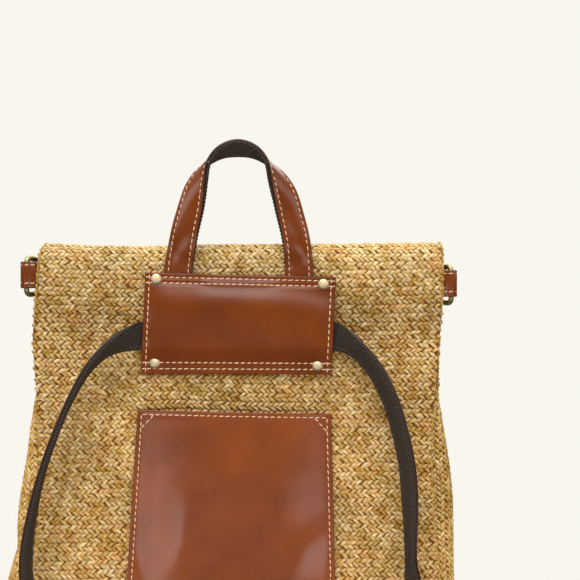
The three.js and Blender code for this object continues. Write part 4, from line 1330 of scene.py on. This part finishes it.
def ply(name, middle, across, out, length, width, thick, swell, look, slot, replaces, rib=0.0):
    """A ply along a belt: rounded edges, a soft swell between its seams, and the seams pressed in."""
    v = np.linspace(-width / 2 + thick.max() * PLY_ROUND, width / 2 - thick.max() * PLY_ROUND, 21)
    rise = swell * np.clip(1 - (v / (width / 2 - SWELL_IN)) ** 2, 0, 1)
    rise = rise - SUNK * np.exp(-(((np.abs(v) - (width / 2 - SEAM)) / SUNK_WIDE) ** 2))
    angle = np.linspace(-math.pi / 2, math.pi / 2, 7)[1:-1]
    bow = np.stack([v[-1] + (width / 2 - v[-1]) * np.cos(angle), np.sin(angle) / 2, 0 * angle], axis=1)
    flat = np.linspace(-1, 1, 7) * v[-1]
    section = np.concatenate([  # across, share of the thickness, rise above it
        np.stack([flat, np.full(7, -0.5), np.zeros(7)], axis=1),
        bow,
        np.stack([v[::-1], np.full(21, 0.5), rise[::-1]], axis=1),
        (bow * [-1, 1, 1])[::-1],
    ])
    height = section[None, :, 1] * thick[:, None] + section[None, :, 2]
    edge = width / 2 - np.abs(section[:, 0])
    ribs = np.sin(2 * math.pi * length / RIB)[:, None] * rib * np.sign(section[:, 0]) * (edge < RIB_IN)
    sideways = section[None, :, 0] + ribs
    points = middle[:, None] + across[:, None] * sideways[..., None] + out[:, None] * height[..., None]
    rings, sides = points.shape[:2]
    faces = tube_faces(rings, sides)
    fibre = np.zeros((rings, sides, 3))
    fibre[..., 0] = length[:, None]
    fibre[..., 1] = section[None, :, 0]
    made = piece(name, points.reshape(-1, 3), faces, look, slot, replaces,
                 fibre=fibre.reshape(-1, 3), edge=np.tile(edge, rings))
    facing_out(made)
    print(name, round(length[-1], 3), "m long,", len(faces), "faces")


def belt_stitches(length, line, across, face, rng):
    """Two rows of stitches on one face of a belt. `face` is the way out of it."""
    runs = []
    at = np.arange(PITCH, length[-1] - PITCH, PITCH)
    for side in (-1, 1):
        point, over, up = (curve_through(length, field, at) for field in (line, across, face))
        ahead = unit(curve_through(length, np.gradient(line, length, axis=0), at))
        point = point + unit(over) * side * (BELT_WIDTH / 2 - SEAM)
        runs.append(stitches(point, unit(up), ahead, STITCH_LONG, rng, BELT_THREAD))
    return runs


# %% Two plies and their seams
LINING_FULL = 0.002  # the twill's thickness where nothing presses on it
SWAY_LONG = 0.04  # metres from one slow wave of the handle's leather to the next
SWAY_ENDS = (0.33, 0.36)  # z between which the sway dies away
SHIFT_GROWS = (0.305, 0.36)  # z between which the lining goes from its low shift to its high one
CLEAR = 0.012  # metres from the strap cover to where a belt is loose
cover_low, cover_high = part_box("strap_cover")


def loose(points):
    """0 under the strap cover and 1 well clear of it."""
    gap = np.maximum(np.array(cover_low) - points, points - np.array(cover_high))[:, [0, 2]].max(axis=1)
    return ease(gap, 0.0, CLEAR)


def two_plies(name, pitch, leather_width, swell, sway, shift, rng):
    """A belt's leather and lining, each with two seams. The lining is shifted aside, low and high up."""
    leather_node, lining_node = name + "_leather", name + "_lining"
    length, leather_mid, lining_mid, across, out = belt(leather_node, lining_node, pitch)
    free = loose(lining_mid)[:, None]
    below_arch = 1 - ease(lining_mid[:, 2:], *SWAY_ENDS)
    sway = sway * np.sin(2 * math.pi * length / SWAY_LONG + 0.6)[:, None] * free * below_arch
    leather_mid, lining_mid = leather_mid + out * sway, lining_mid + out * sway
    ply(leather_node + "_ply", leather_mid, across, out, length, leather_width,
        np.full(len(length), LEATHER_PLY), swell, belt_look, "leather", [leather_node])
    more = (LINING_FULL - LINING_PLY) * free
    aside = shift[0] + (shift[1] - shift[0]) * ease(lining_mid[:, 2:], *SHIFT_GROWS)
    lining_mid = lining_mid - out * more / 2 + across * aside * free
    thick = LINING_PLY + more[:, 0]
    ply(lining_node + "_ply", lining_mid, across, -out, length, BELT_WIDTH, thick, swell=0.0002,
        look=lining_look, slot="lining", replaces=[lining_node], rib=0.0003)
    face = leather_mid + out * (LEATHER_PLY / 2 - SUNK)
    sewn(name + "_stitches", belt_stitches(length, face, across, out, rng))
    face = lining_mid - out * (thick / 2 - SUNK)[:, None]
    runs = belt_stitches(length, face, across, -out, rng)
    sewn(name + "_lining_stitches", runs, grey_thread_look, "lining")


rng = np.random.default_rng(33)
two_plies("handle", pitch=0.0008, leather_width=0.019, swell=0.0007, sway=0.0006, shift=(0.0, 0.0006),
          rng=rng)
two_plies("strap", pitch=0.0014, leather_width=0.0173, swell=0.0, sway=0.0, shift=(0.0, 0.0), rng=rng)

# %% [markdown]
# ## Side tabs and rings
#
# At each upper corner a short leather strip is folded round the straight bar of a D ring, and its two ends
# are sewn in between back panel and gusset. The strip is a line swept by a flat section with rounded edges.
# The ring is a wire bent to a D and swept by a circle. Curve objects could do the same, but here the line's
# points are at hand to set the stitches on. A ring rides on its own body, because it swings.


# %% Swept pieces
def swept(line, side, section, closed):
    """Points and faces of a section (side, out) swept along a flat line, whose normal axis is `side`."""
    ahead = unit(np.gradient(line, axis=0))
    if closed:
        ahead = unit(np.roll(line, -1, axis=0) - np.roll(line, 1, axis=0))
    side = np.broadcast_to(side, line.shape)
    out = np.cross(ahead, side)
    points = line[:, None] + side[:, None] * section[None, :, :1] + out[:, None] * section[None, :, 1:]
    return points.reshape(-1, 3), tube_faces(len(line), len(section), closed)


def rounded_bar(width, thick):
    """A flat section with half-round edges: (across, out)."""
    angle = np.linspace(-math.pi / 2, math.pi / 2, 9)
    over = width / 2 - thick * 0.4 + thick * 0.4 * np.cos(angle)
    bow = np.stack([over, thick / 2 * np.sin(angle)], axis=1)
    return np.concatenate([bow, -bow])


# %% Tabs
TAB_THICK = 0.0019
TAB_FLAT = 0.0078  # metres from the bar to where the tab's two layers lie flat together
TAB_NECK = (0.0055, 0.0017)  # a point on the way there: out from the bar, and aside
TAB_ROLL = np.linspace(math.radians(62), math.radians(298), 41)  # angles round the bar
TAB_STITCHES = 0.004 * np.array([-1.7, -0.7, 0.3, 1.3, 2.3])  # from the roll's outermost line
TAB_SEAMS = (0.0035, 0.0024)  # metres from the low edge and from the top edge
TAB_STITCH_LONG, TAB_STITCH_DIP = 0.0035, 0.0006
UP = np.array([0.0, 0.0, 1.0])


def tab_line(around, tail_end):
    """The middle line of a folded tab, (inward, depth) from the bar: out along one layer, round and back."""
    layer = [(x, TAB_THICK * 0.53) for x in np.linspace(tail_end, TAB_FLAT, 6)] + [TAB_NECK]
    roll = [(around * math.cos(a), around * math.sin(a)) for a in TAB_ROLL]
    line = np.array(layer + roll + [(x, -y) for x, y in layer[::-1]])
    length = run_of(line)
    return curve_through(length, line, np.linspace(0, length[-1], 110))


rng = np.random.default_rng(34)
for name, sign in (("left", -1), ("right", 1)):
    low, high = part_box("side_tab_" + name)
    outer, tall = (high.y - low.y) / 2, high.z - low.z
    bar_x = low.x + outer if sign < 0 else high.x - outer
    bar = np.array([bar_x, (low.y + high.y) / 2, (low.z + high.z) / 2])
    line = tab_line(outer - TAB_THICK / 2, high.x - low.x - outer - 0.0002)
    path = bar + line[:, :1] * np.array([-sign, 0.0, 0.0]) + line[:, 1:] * np.array([0.0, 1.0, 0.0])
    section = rounded_bar(tall, TAB_THICK)
    points, faces = swept(path, UP, section, False)
    edge = np.tile(tall / 2 - np.abs(section[:, 0]), len(path))
    node = "side_tab_" + name
    tab = piece("tab_leather_" + name, points, faces, leather_look, "leather", [node], edge=edge)
    facing_out(tab)
    length = run_of(path)
    at = length[-1] / 2 + TAB_STITCHES
    ahead = unit(curve_through(length, np.gradient(path, length, axis=0), at))
    out = np.cross(ahead, UP) * -sign
    rows = []
    for up in (TAB_SEAMS[0] - tall / 2, tall / 2 - TAB_SEAMS[1]):
        place = curve_through(length, path, at) + out * (TAB_THICK / 2 - 0.0001) + UP * up
        row = stitches(place, out, ahead, TAB_STITCH_LONG, rng)
        row["sag"] = np.full(len(at), TAB_STITCH_DIP)
        rows.append(row)
    sewn("tab_stitches_" + name, rows)

# %% Rings
WIRE = 0.0036  # diameter
RING_TALL, RING_DEEP, RING_CORNER, RING_STRAIGHT = 0.0246, 0.016, 0.0032, 0.004
REST = math.radians(42)  # how far a ring is swung in at rest


def d_line():
    """The wire's middle line, (out, up) from the bar's middle: bar, corners, arms and bow."""
    half, corner = RING_TALL / 2, RING_CORNER
    quarter = np.linspace(0, math.pi / 2, 9)
    top = [(corner - corner * math.cos(a), half - corner + corner * math.sin(a)) for a in quarter]
    bow = [(RING_STRAIGHT + (RING_DEEP - RING_STRAIGHT) * math.cos(a), half * math.sin(a))
           for a in np.linspace(math.pi / 2, -math.pi / 2, 49)]
    bar = [(0, y) for y in np.linspace(-half + corner, half - corner, 16)[1:-1]]
    return np.array(bar + top + bow + [(x, -y) for x, y in top[::-1]])


angle = np.linspace(0, 2 * math.pi, 20, endpoint=False)
wire = np.stack([np.cos(angle), np.sin(angle)], axis=1) * WIRE / 2
line = d_line()
joints = {joint["name"]: joint for joint in frame["joints"]}
for name, sign in (("left", -1), ("right", 1)):
    body, node = "ring_" + name, "side_ring_" + name
    bar = np.array(joints[body + "_swing"]["pos_m"])
    out = np.array([-sign * math.sin(REST), math.cos(REST), 0.0])
    path = bar + line[:, :1] * out + line[:, 1:] * UP
    points, faces = swept(path, np.cross(out, UP), wire, True)
    ring = piece("ring_wire_" + name, points, faces, ring_look, "metal", [node], body)
    facing_out(ring)
    print(ring.name, len(faces), "faces")

# %% [markdown]
# ## Size, and the end
#
# The size of the dressed bag is printed. The dressed bag has to stay in the frame's box, apart from
# the little that straw and thread may stand proud.

# %% Finish
bpy.context.view_layer.update()
low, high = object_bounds()
print("dressed:", [round(v, 4) for v in high - low], "m")
